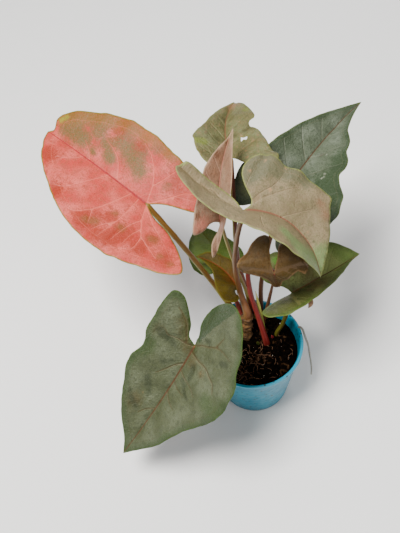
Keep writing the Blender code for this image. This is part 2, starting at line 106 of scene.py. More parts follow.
# The same blades as the solids, in their own flat places: see blade_point.
BLADES = {
    "pink": dict(
        at=(-46.7, 55.2, 112), heading=134, pitch=14, roll=-10, length=75, bow=0,
        droop=14, fold=(18, 18), curl=(6, 4), lift=(12, 12), wave=0.8, waves=5,
        left=[(-4, 73), (-9, 69), (-18, 60), (-32, 36), (-38, 17), (-38, -4), (-33, -20),
              (-28, -34), (-21, -43), (-13, -35), (-6, -20), (-4, -9)],
        right=[(2.6, 72.2), (5.5, 73), (9, 74.2), (14, 71.5), (20, 63.5), (30, 40), (32, 20),
               (30, 3), (28, -13), (26, -29), (20, -37), (13, -28), (6, -9)]),
    "front": dict(
        at=(0.4, 15.4, 146), heading=-31, pitch=-13, roll=-12, length=51, bow=-9,
        droop=45, fold=(34, 18), curl=(6, 2), lift=(30, 20), wave=0.6, waves=5,
        left=[(-8.4, 46.3), (-16.2, 41.6), (-22.5, 36.8), (-28.5, 31.9), (-32.8, 29.6),
              (-31.7, 22.3), (-32.4, 14.3), (-30.3, 6.5), (-30.3, -1.4), (-24, -10.7), (-15, -10),
              (-6, 1)],
        right=[(7, 40), (12.5, 27), (13.5, 14), (14, 4), (15, -8), (14, -21), (7, -37), (-1, -35),
               (-3, -20), (-3, -8)]),
    "young": dict(
        at=(-10.3, 27.2, 124), heading=72, pitch=34, roll=-5, length=48, bow=-3,
        droop=6, fold=(58, 58), curl=(0, 6), lift=(0, 0), wave=0.4, waves=3,
        left=[(-2, 43), (-7, 37), (-12, 30), (-15, 23), (-17, 10), (-18, 0), (-17, -8), (-11, -6),
              (-6, -1)],
        right=[(5, 41), (8, 35), (12, 26), (14, 18), (12, 9), (7, -2), (3, -10), (-2, -18),
               (-4, -11), (-1, -4)]),
    "top": dict(
        at=(0.4, 64.7, 128.6), heading=81, pitch=-5, roll=0, length=50.5, bow=-4,
        droop=9, fold=(37, 35), curl=(20, 34), lift=(28, 36), wave=0.8, waves=4,
        left=[(-2.5, 47), (-10.5, 34.5), (-18.5, 16.5), (-22.5, 7.5), (-21.5, 3), (-20, -3),
              (-15.5, -13), (-9, -15), (-4, -6)],
        right=[(1.5, 46.5), (4.5, 44), (9, 37), (13.5, 25.8), (11, 23), (10.5, 20.5),
               (12.5, 16.8), (17, 11), (21, 1), (26, -13), (17, -20), (10, -13), (4, -4)]),
    "right": dict(
        at=(28.4, 58.8, 103), heading=45, pitch=8, roll=0, length=74.5, bow=-2,
        droop=6, fold=(40, 22), curl=(0, 0), lift=(22, 0), wave=1, waves=5,
        left=[(-5, 65), (-13, 49), (-19, 34), (-23, 20), (-26, 4), (-28, -10), (-23, -26),
              (-14, -30), (-7, -16)],
        right=[(2.5, 63), (6.8, 51), (10, 47), (14.6, 41.8), (17.8, 33.6), (22.2, 28.8),
               (24.5, 23.2), (24.5, 17.2), (28, 12.9), (32.2, 8.9), (35.9, 4.9), (37.8, -0.7),
               (40.2, -8.1), (38, -18), (29, -35), (20, -35), (10, -20)]),
    "low_right": dict(
        at=(23, 8.3, 80), heading=25, pitch=-5, roll=-10, length=45, bow=0,
        droop=-8, fold=(33, 26), curl=(10, 18), lift=(30, 8), wave=0.6, waves=4,
        left=[(-5, 42), (-13, 36), (-19, 24), (-23, 10), (-24, -4), (-20, -14), (-11, -12),
              (-5, -3)],
        right=[(2, 38), (8, 27), (13, 13), (16, -3), (17, -14), (13, -23), (6, -23), (1, -13)]),
    "cupped": dict(
        at=(12.3, 1.2, 111.5), heading=-77, pitch=-72, roll=25, length=17, bow=0,
        droop=50, fold=(15, 15), curl=(14, 6), lift=(-53, -39), wave=0.5, waves=2,
        left=[(-2.2, 10), (-4, 5), (-6.5, 3.2), (-9, 0.6), (-12, -0.8), (-15.5, 0.5), (-17, -3),
              (-14.5, -8), (-11, -13), (-5.5, -19), (-3, -14), (-2.6, -9), (-1.4, -5)],
        right=[(2.2, 10), (3.2, 4.5), (6, 1.2), (11, -1), (16, -2), (17.2, -5), (16.5, -8),
               (12.5, -11.5), (9.5, -15.5), (7, -19.5), (3.5, -21), (1.2, -18), (1.3, -12),
               (1, -6)]),
    "back": dict(
        at=(-9.6, 56.6, 54), heading=114, pitch=-6, roll=-10, length=34, bow=0,
        droop=4, fold=(21, 20), curl=(0, 4), lift=(20, 8), wave=0.4, waves=4,
        left=[(-5, 27), (-11, 20), (-17, 10), (-20, 0), (-19, -9), (-15, -12), (-8, -10),
              (-3, -3)],
        right=[(3, 26), (6, 19), (9, 10), (11, 0), (11, -9), (8, -14), (3, -8)]),
    "small_left": dict(
        at=(-3.9, 24.1, 65.4), heading=129, pitch=0, roll=0, length=33.4, bow=4,
        droop=-4, fold=(35, 25), curl=(8, 4), lift=(16, 20), wave=0.4, waves=4,
        left=[(0, 29), (-1.5, 24), (-3.5, 18), (-9, 11.5), (-14.5, 4), (-16, -2), (-14.5, -6.5),
              (-11, -8), (-7, -6.4), (-5, -4), (-4.6, -1.8), (-2.4, 0.6)],
        right=[(5, 31), (7.5, 28.5), (10.5, 20.5), (11.5, 15), (8, 9), (3, 4)]),
    "low_left": dict(
        at=(-31.4, -12.9, 76), heading=-146, pitch=-50, roll=-2, length=76, bow=0,
        droop=-18, fold=(18, 30), curl=(6, -8), lift=(10, 10), wave=0.8, waves=5,
        left=[(-6, 68.5), (-15, 57), (-19.5, 47.5), (-23.5, 39), (-30.5, 28.5), (-36.5, 17.5),
              (-38, 6), (-37, -3), (-33.5, -11), (-29, -24), (-23.5, -32), (-17.5, -36.5),
              (-12, -36.5), (-5, -32), (2, -23), (3.6, -13), (1.2, -6)],
        right=[(5, 68), (13.5, 58), (16.5, 53), (21, 44), (24.5, 34.5), (26.5, 29), (27, 23.5),
               (25.5, 19), (24.2, 15), (24.6, 11), (26.5, 1.5), (26, -8), (25, -18), (22, -25.5),
               (16.5, -24.5), (12, -18.5), (6.8, -10), (5, -3.5)]),
}

# How each blade looks, in its flat millimetres. dark, base and light are the upper face's own
# mottling. The blotches and flushes, each (x, y, radius), lay two more colours over it, and each of
# the spots has a colour of its own; some spot groups are painted highlights, painted light or
# painted shade, as marked. A dent is (x, y, radius, height), and border is (colour, width).
LOOKS = {
    "pink": dict(
        dark=(0.25, 0.017, 0.006), base=(0.45, 0.036, 0.026), light=(0.6, 0.105, 0.078),
        blotch=(0.066, 0.082, 0.014), flush=(0.25, 0.018, 0.002), under=(0.35, 0.07, 0.035),
        vein=(0.72, 0.17, 0.11), rib=(0.27, 0.008, 0.01), edge=(0.2, 0.17, 0.008), inset=5.5,
        show=0.42, collar=0.2, cover=0.9,
        blotches=[(15, 21, 6), (19, 28, 5.5), (11, 13.5, 4.5), (9, 35, 3.5), (7, 31.5, 3),
                  (7, 58, 5), (7.5, 51, 5), (20.5, 54, 5), (24, 45.5, 5), (12, 62, 5), (16, 47, 4),
                  (-21, 0, 2.5), (-15, -18, 3), (6, 66, 4), (18, 34, 4), (22, 60, 5), (14, 68, 4),
                  (27, 46, 4), (13, 40, 3.5), (22, 20, 4), (5, 43, 2.5), (26, 34, 4)],
        flushes=[(-31.5, 17.5, 5), (-27, 14.5, 5.5), (-22, -4.5, 6), (-29.5, -1, 5),
                 (-33, 5.5, 5), (-15.5, -16, 4), (-23.5, -16.5, 5), (-19.5, -30.5, 6),
                 (-20, 8, 4), (30, 8, 6), (26.5, -4.5, 6), (17, -5.5, 5), (26, 38, 7),
                 (-27, 40, 6), (24, 22, 5), (22, -26, 6), (-12, 60, 6)],
        spots=[((0.17, 0.085, 0.008), [(13, 72, 8), (20, 65, 9), (25.5, 55, 9), (29, 45, 8.5),
                                       (31.5, 35, 8.5), (32, 25, 8), (32, 15, 8), (31, 5, 7),
                                       (29.5, -8, 7)]),
               ((0.16, 0.055, 0.008), [(-30, 16, 3), (-27, 11.5, 3.5), (-16.5, 7.5, 3),
                                       (-21, -1, 3.5), (-15, -16.5, 3.5), (-20.5, -27.5, 3),
                                       (-20.5, -35, 3), (19, -18.5, 3), (14, -3, 3.5),
                                       (26, 13.5, 4)]),
               ((0.3, 0.028, 0.01), [(17, -21, 6), (22.5, -12, 6), (14, -11, 4), (21, -29, 5)]),
               ((0.22, 0.26, 0.01), [(9, 71.5, 2.4), (12.5, 69.5, 2.2), (0.8, 73.8, 1.3)]),
               ((0.02, 0.01, 0.005), [(4.6, 73, 0.7), (1.4, 74.6, 0.5)])]),
    "front": dict(
        dark=(0.095, 0.08, 0.034), base=(0.175, 0.13, 0.067), light=(0.235, 0.18, 0.1),
        blotch=(0.13, 0.22, 0.07), flush=(0.2, 0.105, 0.055), under=(0.07, 0.08, 0.014),
        vein=(0.26, 0.165, 0.085), rib=(0.19, 0.075, 0.04), edge=(0.2, 0.22, 0.06), inset=3,
        show=0.3, bump=0.7,
        blotches=[(2.4, 20.6, 3), (4.5, 25.6, 4), (5.5, 31.1, 5), (4.5, 38.6, 6.5), (1.5, 43, 6),
                  (-2, 49, 8), (-9, 44, 5)],
        flushes=[(-23.6, 32.6, 2.6), (-26.5, 27.7, 2.2)],
        spots=[((0.085, 0.09, 0.045), [(-28.5, -8, 8), (-28, 1, 8), (-21, -5, 7), (-29, 10, 6),
                                       (-15, -6, 5), (-30, 18, 4)]),
               ((0.42, 0.22, 0.1), [(-15.6, 6.1, 1.2), (-26.1, -1.4, 1.1), (-18.1, -6.9, 1),
                                    (-29.1, 7.6, 1), (-11.1, 31.6, 0.9)]),
               ((0.05, 0.05, 0.02), [(-24.1, 13.1, 1.3), (-29.1, 14.6, 1.1), (-10.1, 36.6, 1),
                                     (-19.6, 9.6, 1), (-28.1, 10.6, 0.9)])]),
    "young": dict(
        dark=(0.11, 0.05, 0.024), base=(0.265, 0.145, 0.088), light=(0.34, 0.23, 0.15),
        blotch=(0.2, 0.17, 0.06), flush=(0.52, 0.16, 0.11), under=(0.25, 0.13, 0.08),
        vein=(0.4, 0.22, 0.17), rib=(0.4, 0.15, 0.11), edge=(0.3, 0.2, 0.12), inset=2,
        blotches=[(0, 44, 5)], flushes=[(-12, -4, 6)],
        spots=[((0.1, 0.04, 0.018), [(-16, 1, 3), (-16.5, 9, 3), (-14, 19, 3.5), (-8, 33, 3),
                                     (-2.5, 41, 3), (-13, -6, 2), (-1, -14, 2.5), (1.5, -9, 2)])]),
    "top": dict(
        dark=(0.055, 0.05, 0.012), base=(0.1, 0.096, 0.03), light=(0.14, 0.15, 0.062),
        blotch=(0.26, 0.13, 0.06), flush=(0.3, 0.15, 0.08), under=(0.12, 0.025, 0.02),
        vein=(0.17, 0.13, 0.05), rib=(0.15, 0.065, 0.025), edge=(0.15, 0.15, 0.03), inset=2.5,
        show=0.3, rumple=1, bump=0.9, blotches=[(0, 44, 4)],
        spots=[((0.35, 0.16, 0.07), [(5.4, 23.5, 1.1), (12.9, 5, 1.3), (8.9, -0.5, 1), (7.4, 2, 0.9),
                                     (6.4, 11.5, 1), (9.9, -6.5, 1.1)]),
               # painted shade: darker spots in the blade's dents, where the hollows lie in shade
               ((0.045, 0.042, 0.01), [(11.9, 19, 3), (8.4, 15, 2.6), (-8.6, 12, 3.2),
                                       (2.4, 13.5, 2.2), (-5.6, 31, 2.4)]),
               ((0.16, 0.2, 0.02), [(-16.1, 4, 3.2), (-20.1, 3.5, 3), (8.9, 33.5, 3)])],
        dents=[(11.9, 19, 2.4, -1.2), (8.4, 16.5, 2, -0.9), (-8.6, 12, 3, -0.8), (2, 30, 3, 0.6),
               (-2, 8, 4, 0.7), (16, 4, 3.5, 0.9)],
        holes=[[(6, 11.2), (7.6, 10.2), (9.6, 10.4), (9.2, 8.2), (7.4, 8.8), (6.2, 7.8)]]),
    "right": dict(
        dark=(0.03, 0.04, 0.019), base=(0.085, 0.105, 0.064), light=(0.14, 0.165, 0.115),
        blotch=(0.035, 0.05, 0.022), flush=(0.012, 0.032, 0.004), under=(0.07, 0.075, 0.03),
        vein=(0.11, 0.1, 0.05), rib=(0.065, 0.032, 0.012), edge=(0.05, 0.075, 0.01), inset=3,
        show=0.3, rumple=0.7, cover=0.85, bump=0.7, border=((0.014, 0.032, 0.006), 6),
        blotches=[(-20, 24, 6), (-18, 38, 5), (-21, 12, 6), (-14, 50, 4), (6, 12, 6)],
        flushes=[(24.9, 15, 9), (32.4, 8, 10), (18.4, 9.5, 7), (36, -2, 9), (17, 30, 6),
                 (22, 26, 6), (12, 46, 4), (24, -14, 9)],
        spots=[((0.03, 0.018, 0.01), [(4.2, 28.6, 2), (-13.1, 10, 2.2)]),
               # painted light: lighter patches on the left lobe, which lies in the front leaf's
               # shadow
               ((0.13, 0.14, 0.055), [(-22, -12, 6), (-17, -21, 6), (-25, -2, 4)]),
               # painted highlights: small pale glints on the blade
               ((0.62, 0.62, 0.5), [(15.5, 16, 0.75), (16.2, 14.4, 0.7), (15.8, 12.6, 0.7),
                                    (7.5, 28.5, 0.8)])],
        dents=[(4, 28.6, 2.6, -1.3), (11.4, 9.5, 3, -0.8), (-13.1, 10, 3.4, -0.9),
               (16, 19, 3.2, 1.1), (11, 33, 4, 0.7), (-10, 38, 4, 0.6)]),
    "low_right": dict(
        dark=(0.055, 0.064, 0.012), base=(0.165, 0.19, 0.052), light=(0.21, 0.25, 0.075),
        blotch=(0.1, 0.05, 0.014), flush=(0.08, 0.14, 0.02), under=(0.05, 0.05, 0.012),
        vein=(0.14, 0.12, 0.04), rib=(0.12, 0.06, 0.015), edge=(0.09, 0.13, 0.015), inset=3,
        show=0.35, border=((0.036, 0.07, 0.006), 4.5),
        blotches=[(6, -6, 8), (4, 14, 7), (-8, 16, 6), (-14, 4, 6)], flushes=[(0, 34, 8)],
        # painted light: lighter spots where the blade lies in the front leaf's shadow
        spots=[((0.3, 0.34, 0.1), [(-3, 30, 7), (-2, 21, 6), (-9, 27, 6)]),
               ((0.13, 0.2, 0.035), [(-3.5, 37, 5), (-2, 43, 5), (-12, 34, 6)]),
               ((0.09, 0.28, 0.015), [(-20, 1.5, 2.2), (-18, 1.5, 1.8), (-19, 4, 1.6)]),
               # painted shade: the lower lobe darkened, where it lies in shadow
               ((0.03, 0.036, 0.005), [(5, -10, 10), (5.5, -18, 10), (9, -3.5, 9), (4, 5.5, 7),
                                       (12, -14, 8), (14, -5, 7)]),
               ((0.012, 0.012, 0.002), [(5, -10, 4), (5.5, -18, 4.5), (8, -3.5, 4)]),
               ((0.07, 0.025, 0.006), [(0, 2, 3), (2.5, -6, 2.2), (6, 8, 3)])]),
    "cupped": dict(
        dark=(0.025, 0.013, 0.003), base=(0.045, 0.025, 0.006), light=(0.085, 0.05, 0.017),
        blotch=(0.03, 0.024, 0.001), flush=(0.12, 0.035, 0.003), under=(0.05, 0.035, 0.008),
        vein=(0.1, 0.06, 0.03), rib=(0.05, 0.022, 0.007), edge=(0.15, 0.085, 0.035), inset=2,
        show=0.6, gloss=0.12, blotches=[(-8, 4, 6)], flushes=[(0, 18, 8)]),
    "back": dict(
        dark=(0.03, 0.055, 0.006), base=(0.07, 0.11, 0.015), light=(0.11, 0.17, 0.03),
        blotch=(0.08, 0.1, 0.03), flush=(0.1, 0.17, 0.04), under=(0.04, 0.07, 0.012),
        vein=(0.06, 0.1, 0.018), rib=(0.07, 0.09, 0.012), edge=(0.06, 0.11, 0.012), inset=2.5,
        gloss=0.15, border=((0.025, 0.05, 0.005), 4), blotches=[(0, 16, 5)]),
    "small_left": dict(
        dark=(0.018, 0.013, 0.001), base=(0.042, 0.028, 0.001), light=(0.08, 0.056, 0.003),
        blotch=(0.05, 0.055, 0.006), flush=(0.1, 0.028, 0.003), under=(0.1, 0.07, 0.012),
        vein=(0.08, 0.04, 0.005), rib=(0.13, 0.03, 0.005), edge=(0.09, 0.08, 0.006), inset=2,
        show=0.4, gloss=0.12, blotches=[(0, 34, 6)], flushes=[(3, 8, 5)]),
    "low_left": dict(
        dark=(0.03, 0.038, 0.014), base=(0.066, 0.078, 0.034), light=(0.105, 0.122, 0.066),
        blotch=(0.075, 0.045, 0.01), flush=(0.022, 0.052, 0.005), under=(0.07, 0.09, 0.03),
        vein=(0.05, 0.026, 0.007), rib=(0.085, 0.036, 0.012), edge=(0.04, 0.08, 0.006), inset=4,
        halo=(0.1, 0.068, 0.02), border=((0.022, 0.045, 0.006), 6.5),
        show=0.7, cover=0.6, quilt=0.6, bump=1.3,
        blotches=[(6.6, -4.2, 4), (10.1, -10.7, 3.5), (-5, 8, 3.5), (2.5, 3, 3.5), (21, 1, 3),
                  (-14, 7, 2.5), (13, 46, 5)],
        flushes=[(23.6, 15.8, 5), (26.1, 23.8, 5), (22.1, 11.3, 5), (-36, -6.2, 5),
                 (-36, 9.3, 5), (-33.9, 18.8, 6), (-25.4, 15, 4), (-18.9, 50.3, 5),
                 (20.1, -24.2, 4), (-22, -33, 4), (26, 48, 6), (-28, 36, 5)],
        # painted shade: dark valleys between the bulges, on the sunken dents
        spots=[((0.026, 0.034, 0.012), [(21, 1, 3), (17.5, 2.5, 2.8), (13.6, 3.8, 2.6), (10, 5, 2.2),
                                        (13, 30, 2.6), (10.5, 34, 3), (8, 38, 2.2), (-6.5, 9, 2.2),
                                        (-8, 12, 2.4), (-9, 15, 2), (10, 49, 2.6), (14, 46, 2.8),
                                        (17, 42, 2.4), (-5, 19, 1.8), (-8, 21, 2), (-11, 23, 2),
                                        (-14, 24, 1.6), (-22, -7, 2.2), (-25, -9, 2.6),
                                        (-6, -8.7, 1.6), (-8, -10, 1.6), (7, 14, 2), (10, 17, 2.2)]),
               ((0.32, 0.2, 0.08), [(11.6, 60.8, 0.6), (-13.4, 6.8, 0.8), (10.6, 39.3, 0.7)]),
               ((0.012, 0.01, 0.008), [(20.1, 46.3, 0.6), (-10.9, 9.8, 0.6), (-31.9, 10.8, 0.5),
                                       (-25.9, 21.8, 0.5)])],
        dents=[(13.6, 3.8, 3, -1.4), (21.1, 1.3, 4, -1.1), (10.1, 34.3, 4.5, -1.4),
               (-7.4, 10.3, 3.2, -1.3), (10.1, 49.3, 4, -1.1), (-8.4, 20.3, 3, -1),
               (-24.4, -8.7, 3.5, -1.1), (15.6, -9.7, 3.5, 1.4), (10.6, -5.7, 2.4, 1),
               (7.1, 27.8, 3.6, 1.4), (16.6, 22.3, 4, 1), (-14.9, -6.2, 3.4, 1.3),
               (-17.4, 12.3, 4, 1.1), (-10.9, 45.3, 6, 1.3)],
        turned=dict(line=[(-2.4, -4.2), (-3.9, -9.7), (-6.9, -18.7), (-11.4, -28.2), (-16, -38.5)],
                    beyond=[(3, -40), (5, -4.2)], slope=0.3, tone=(0.014, 0.036, 0.004))),
}

# Veins that show, as points in the flat blade. A blade that isn't named here grows its own.
VEINS = {
    "pink": [
        ([(0, 0), (-6.2, -3), (-11.2, -6), (-17.7, -11.5), (-22.2, -13), (-27.2, -13), (-31, -8)],
         1.2),
        ([(-17.7, -11.5), (-20.2, -18.5), (-22.7, -26.5)], 0.8),
        ([(-1, -0.5), (-7.7, -10.5), (-11.7, -21)], 0.7),
        ([(0, 10.2), (-12.2, 13.5), (-22.7, 17.5), (-29.2, 22.5), (-31, 27)], 1.1),
        ([(0, 5.3), (-12.7, 4), (-22.2, 4), (-32.5, 5)], 0.8),
        ([(0, 27), (-10.7, 32), (-15.2, 34), (-22, 38), (-25, 43)], 0.8),
        ([(-20.2, 4), (-27.2, 8), (-32, 10)], 0.6),
        ([(-22.7, 17.5), (-30, 14)], 0.6),
        ([(-9.7, -5), (-18.2, -2), (-30, -1)], 0.7),
        ([(-14.2, -8.5), (-21.2, -7), (-28, -7.5)], 0.6),
        ([(0, 0.3), (10.3, 4), (17.3, 9), (22.3, 15), (25, 21)], 1.1),
        ([(9.3, 3.5), (16.8, 0.5), (24, -1.5)], 0.8),
        ([(0.5, 0), (9.3, -7.5), (17.3, -14.5), (21, -24)], 1),
        ([(10.3, -9), (10.8, -15)], 0.5),
        ([(0, 21.5), (8.3, 27), (12.3, 33), (14.8, 41)], 0.8),
        ([(0, 41.5), (4.3, 45.5), (7.8, 51)], 0.6),
        ([(0, 46), (-6, 50), (-11, 57)], 0.6)],
    "low_left": [
        ([(-0.5, 3.8), (-7.4, 3.8), (-13.9, 2.8), (-19.9, 4.3), (-23.9, 5.3), (-26.4, 9.3)], 0.9),
        ([(0, 0.3), (-4.9, -4.2), (-9.4, -7.2), (-13.9, -10.7), (-18.9, -12.7), (-25.9, -12.7)], 0.6),
        ([(-13.9, -11.2), (-15.9, -18.7)], 0.6),
        ([(0, 0.8), (5.6, 1.3), (9.6, 0.8), (15.1, 1.8), (17.6, -0.7)], 0.6),
        ([(4.6, 0.8), (6.6, -4.2), (9.1, -9.7), (13.6, -14.7), (16.6, -16.7)], 0.8),
        ([(0, 11.8), (4.1, 15.8), (7.1, 20.3), (10.6, 25.3)], 0.6),
        ([(0, 31.3), (-4.9, 34.3), (-10.9, 35.3)], 0.5),
        ([(0, 16.3), (-5.9, 17.8), (-13.9, 18.3), (-17.4, 20.3)], 0.5),
        ([(0, 43.8), (4.1, 46.8), (7.1, 51.3)], 0.5),
        ([(0, 23.3), (-4.4, 25.3), (-10.9, 25.3)], 0.4)],
    "front": [
        ([(-1, 0.5), (-9.6, 4.6), (-14.1, 7.6), (-22.6, 14.1), (-25.1, 16.6)], 0.7),
        ([(-4, 0.5), (-12.6, 3.6), (-18.6, 6.6), (-26, 8)], 0.5),
        ([(0, -0.3), (1.4, -7.4), (-0.1, -16.9), (1.4, -28.4)], 0.8),
        ([(-6, -3), (-14, -5), (-22, -5)], 0.5),
        ([(0, 12), (-7, 16), (-15, 22), (-22, 27)], 0.6),
        ([(0, 8), (6, 10), (10, 12)], 0.5),
        ([(0, 27), (-6, 31), (-11, 36)], 0.5)],
}
# Where a blade grows its own: (share of the midrib, angle from it), for each half.
LATERALS = ((0.10, 60), (0.30, 54), (0.52, 46))
LATERAL_TURN = -0.7
LOBE_ANGLES = ((158, -0.9, 1.2), (118, -0.8, 0.8))

# Petioles: base in the soil, waypoints, radii at base and blade, and colours.
PETIOLES = {
    "pink": dict(base=(-7.5, 15), via=[(-9, 23, 50), (-16.5, 33, 60), (-25.5, 39.5, 77),
                                         (-35.5, 45.5, 96)],
                 radii=(2.1, 1.5), main=(0.12, 0.055, 0.006), side=(0.16, 0.15, 0.008)),
    "young": dict(base=(5, 20.6), via=[(4.5, 21.4, 53), (1.5, 21.8, 62), (-1.8, 24.5, 74),
                                         (-5.6, 28.4, 90), (-8.6, 30.5, 109)],
                  radii=(1.4, 0.9), main=(0.24, 0.17, 0.05), side=(0.30, 0.27, 0.07)),
    "top": dict(base=(1, 20.2), via=[(1.5, 24.5, 56), (-1.8, 32, 74), (-2.8, 33, 92),
                                       (-2.4, 37, 110), (-0.9, 52, 121)],
                radii=(1.9, 1.3), main=(0.14, 0.035, 0.018), side=(0.20, 0.17, 0.03)),
    "right": dict(base=(7.6, 17.8), via=[(7.9, 21.2, 51), (10, 29.5, 66), (17.8, 44, 86)],
                  radii=(1.4, 1.3), main=(0.08, 0.03, 0.012), side=(0.12, 0.05, 0.02)),
    "low_right": dict(base=(14.9, 7.5), via=[(18, 8.2, 49), (20.8, 9.2, 60)],
                      radii=(1.4, 1.2), main=(0.07, 0.05, 0.008), side=(0.10, 0.095, 0.012)),
    "cupped": dict(base=(7.9, 3.5), via=[(4.6, 13.2, 56), (2.3, 18.6, 67), (1.6, 22, 80),
                                         (2.6, 22.5, 94), (7, 17, 103)],
                   radii=(1.9, 1.3), main=(0.13, 0.009, 0.007), side=(0.21, 0.03, 0.022)),
    "back": dict(base=(-3, 16), via=[(-4.8, 24, 49.6), (-6.5, 30, 51.5), (-9, 42, 54)],
                 radii=(1.6, 1.2), main=(0.32, 0.05, 0.04), side=(0.36, 0.11, 0.08)),
    "small_left": dict(base=(0.4, 14.8), via=[(0.2, 17, 47), (-1.6, 20.6, 53), (-3.4, 23.2, 60)],
                       radii=(1.5, 1.1), main=(0.14, 0.035, 0.012), side=(0.13, 0.07, 0.012)),
    "low_left": dict(base=(-9.5, 4), via=[(-13, -1, 54), (-24, -9, 70)],
                     radii=(2, 1.4), main=(0.20, 0.03, 0.018), side=(0.22, 0.09, 0.03)),
}
STEM_BASE = (-2.9, 7.8)
STEM_TOP = (-1.2, 12.8, 55)
STEM_R = 3.1
FRONT_PETIOLE = dict(via=[(-3, 20, 66), (-5, 22, 90), (-3.8, 21, 112),
                          (-1.3, 19.4, 130)],
                     radii=(2.3, 1.3), main=(0.12, 0.046, 0.015), side=(0.14, 0.072, 0.020))
SHOOTS = {
    "red_bud": dict(base=(12, 5.6), top=(11.3, 5, 44), radius=0.8,
                    main=(0.22, 0.015, 0.02), side=(0.30, 0.04, 0.04)),
    "green_sprout": dict(base=(3.4, 2.6), top=(2.6, 1, 46), radius=0.9,
                         main=(0.07, 0.085, 0.012), side=(0.13, 0.14, 0.025)),
    "new_spear": dict(base=(8, 14.8), top=(16.4, 23.4, 77), radius=1,
                      main=(0.08, 0.03, 0.012), side=(0.12, 0.05, 0.02)),
    "yellow_shoot": dict(base=(8, 11.2), top=(5.1, 20.4, 67.8), radius=1,
                         main=(0.32, 0.30, 0.06), side=(0.42, 0.40, 0.12)),
}

# Where the soil's fibres lie thickest: x, y and spread.
FIBRE_TANGLES = ((0.7, -6.3, 3), (-7.9, -15, 2.5))

# The root that hangs out over the rim, and the dry scale that hangs from a leaf.
STRAND = [(25.4, 6, 44), (26.6, 5.5, 47.6), (27.6, 5, 48.7), (28.9, 3.5, 47),
          (30, 1.5, 42), (31.4, 0, 36), (32.2, -2.5, 28), (32.8, -5, 21),
          (32.4, -8, 15)]
STRAND_R = 0.65
SCALE_PLACE = (11.5, 3)
SCALE_STEPS = [(0, 0, 0.3), (0.8, -1, -1.5), (0.4, -2.4, -3.6), (-0.6, -3.2, -5.6)]


# Curves and meshes

def curve(points, step):
    """Points about one step apart on a smooth curve through the given points."""
    points = np.asarray(points, dtype=float)
    ahead = np.vstack([2 * points[0] - points[1], points, 2 * points[-1] - points[-2]])
    pieces = []
    for before, start, end, after in zip(ahead, ahead[1:], ahead[2:], ahead[3:]):
        count = max(1, round(float(np.linalg.norm(end - start)) / step))
        t = np.arange(count)[:, None] / count
        pieces.append(0.5 * (2 * start + (end - before) * t
                             + (2 * before - 5 * start + 4 * end - after) * t ** 2
                             + (3 * start - before - 3 * end + after) * t ** 3))
    return np.vstack(pieces + [points[-1:]])


def distance(points, line):
    """Each point's distance to a line of points, and how far along it the nearest place is."""
    start, span = line[:-1], line[1:] - line[:-1]
    length = np.maximum((span ** 2).sum(1), 1e-12)
    offset = points[:, None] - start[None]
    t = np.clip((offset * span).sum(2) / length, 0, 1)
    gaps = np.linalg.norm(offset - t[..., None] * span, axis=2)
    nearest = gaps.argmin(1)
    rows = np.arange(len(points))
    along = (nearest + t[rows, nearest]) / len(span)
    return gaps[rows, nearest], along


def inside(points, ring):
    """Which flat points lie inside a closed ring."""
    found = np.zeros(len(points), dtype=bool)
    for a, b in zip(ring, np.roll(ring, -1, axis=0)):
        if a[1] != b[1]:
            spans = (a[1] > points[:, 1]) != (b[1] > points[:, 1])
            crossing = a[0] + (points[:, 1] - a[1]) / (b[1] - a[1]) * (b[0] - a[0])
            found ^= spans & (points[:, 0] < crossing)
    return found


def add_mesh(name, points_mm, faces, materials, smooth=True):
    """Make one object from points in millimetres."""
    mesh = bpy.data.meshes.new(name)
    mesh.from_pydata((np.asarray(points_mm) * MM).tolist(), [], faces)
    for made in materials:
        mesh.materials.append(made)
    if smooth:
        mesh.shade_smooth()
    thing = bpy.data.objects.new(name, mesh)
    bpy.context.collection.objects.link(thing)
    return thing


def set_float(thing, name, values):
    """Keep one number for each point of a mesh."""
    held = thing.data.attributes.new(name, "FLOAT", "POINT")
    held.data.foreach_set("value", np.asarray(values, dtype=np.float32))


def set_vector(thing, name, values):
    """Keep one vector for each point of a mesh."""
    held = thing.data.attributes.new(name, "FLOAT_VECTOR", "POINT")
    held.data.foreach_set("vector", np.asarray(values, dtype=np.float32).ravel())


# Blades

def arc(start_angle, turn, reached):
    """Where a curve of constant turn has got to: (along, up) after a distance."""
    turn = np.where(np.abs(turn) < 1e-6, 1e-6, turn)
    end_angle = start_angle + turn * reached
    along = (np.sin(end_angle) - np.sin(start_angle)) / turn
    up = (np.cos(start_angle) - np.cos(end_angle)) / turn
    return along, up


def blade_frame(leaf):
    """The blade's own axes: across, along the midrib, and out of its upper face."""
    heading, pitch, roll = (math.radians(leaf[key]) for key in ("heading", "pitch", "roll"))
    along = np.array([math.cos(pitch) * math.cos(heading), math.cos(pitch) * math.sin(heading),
                      math.sin(pitch)])
    level = np.array([math.sin(heading), -math.cos(heading), 0])
    upright = np.cross(level, along)
    across = math.cos(roll) * level - math.sin(roll) * upright
    return across, along, np.cross(across, along)


def rib_offset(leaf, y):
    """How far the bowed midrib lies to the right of the straight line, at distances along it."""
    u = np.clip(np.asarray(y) / leaf["length"], 0, 1)
    return leaf["bow"] * 4 * u * (1 - u)


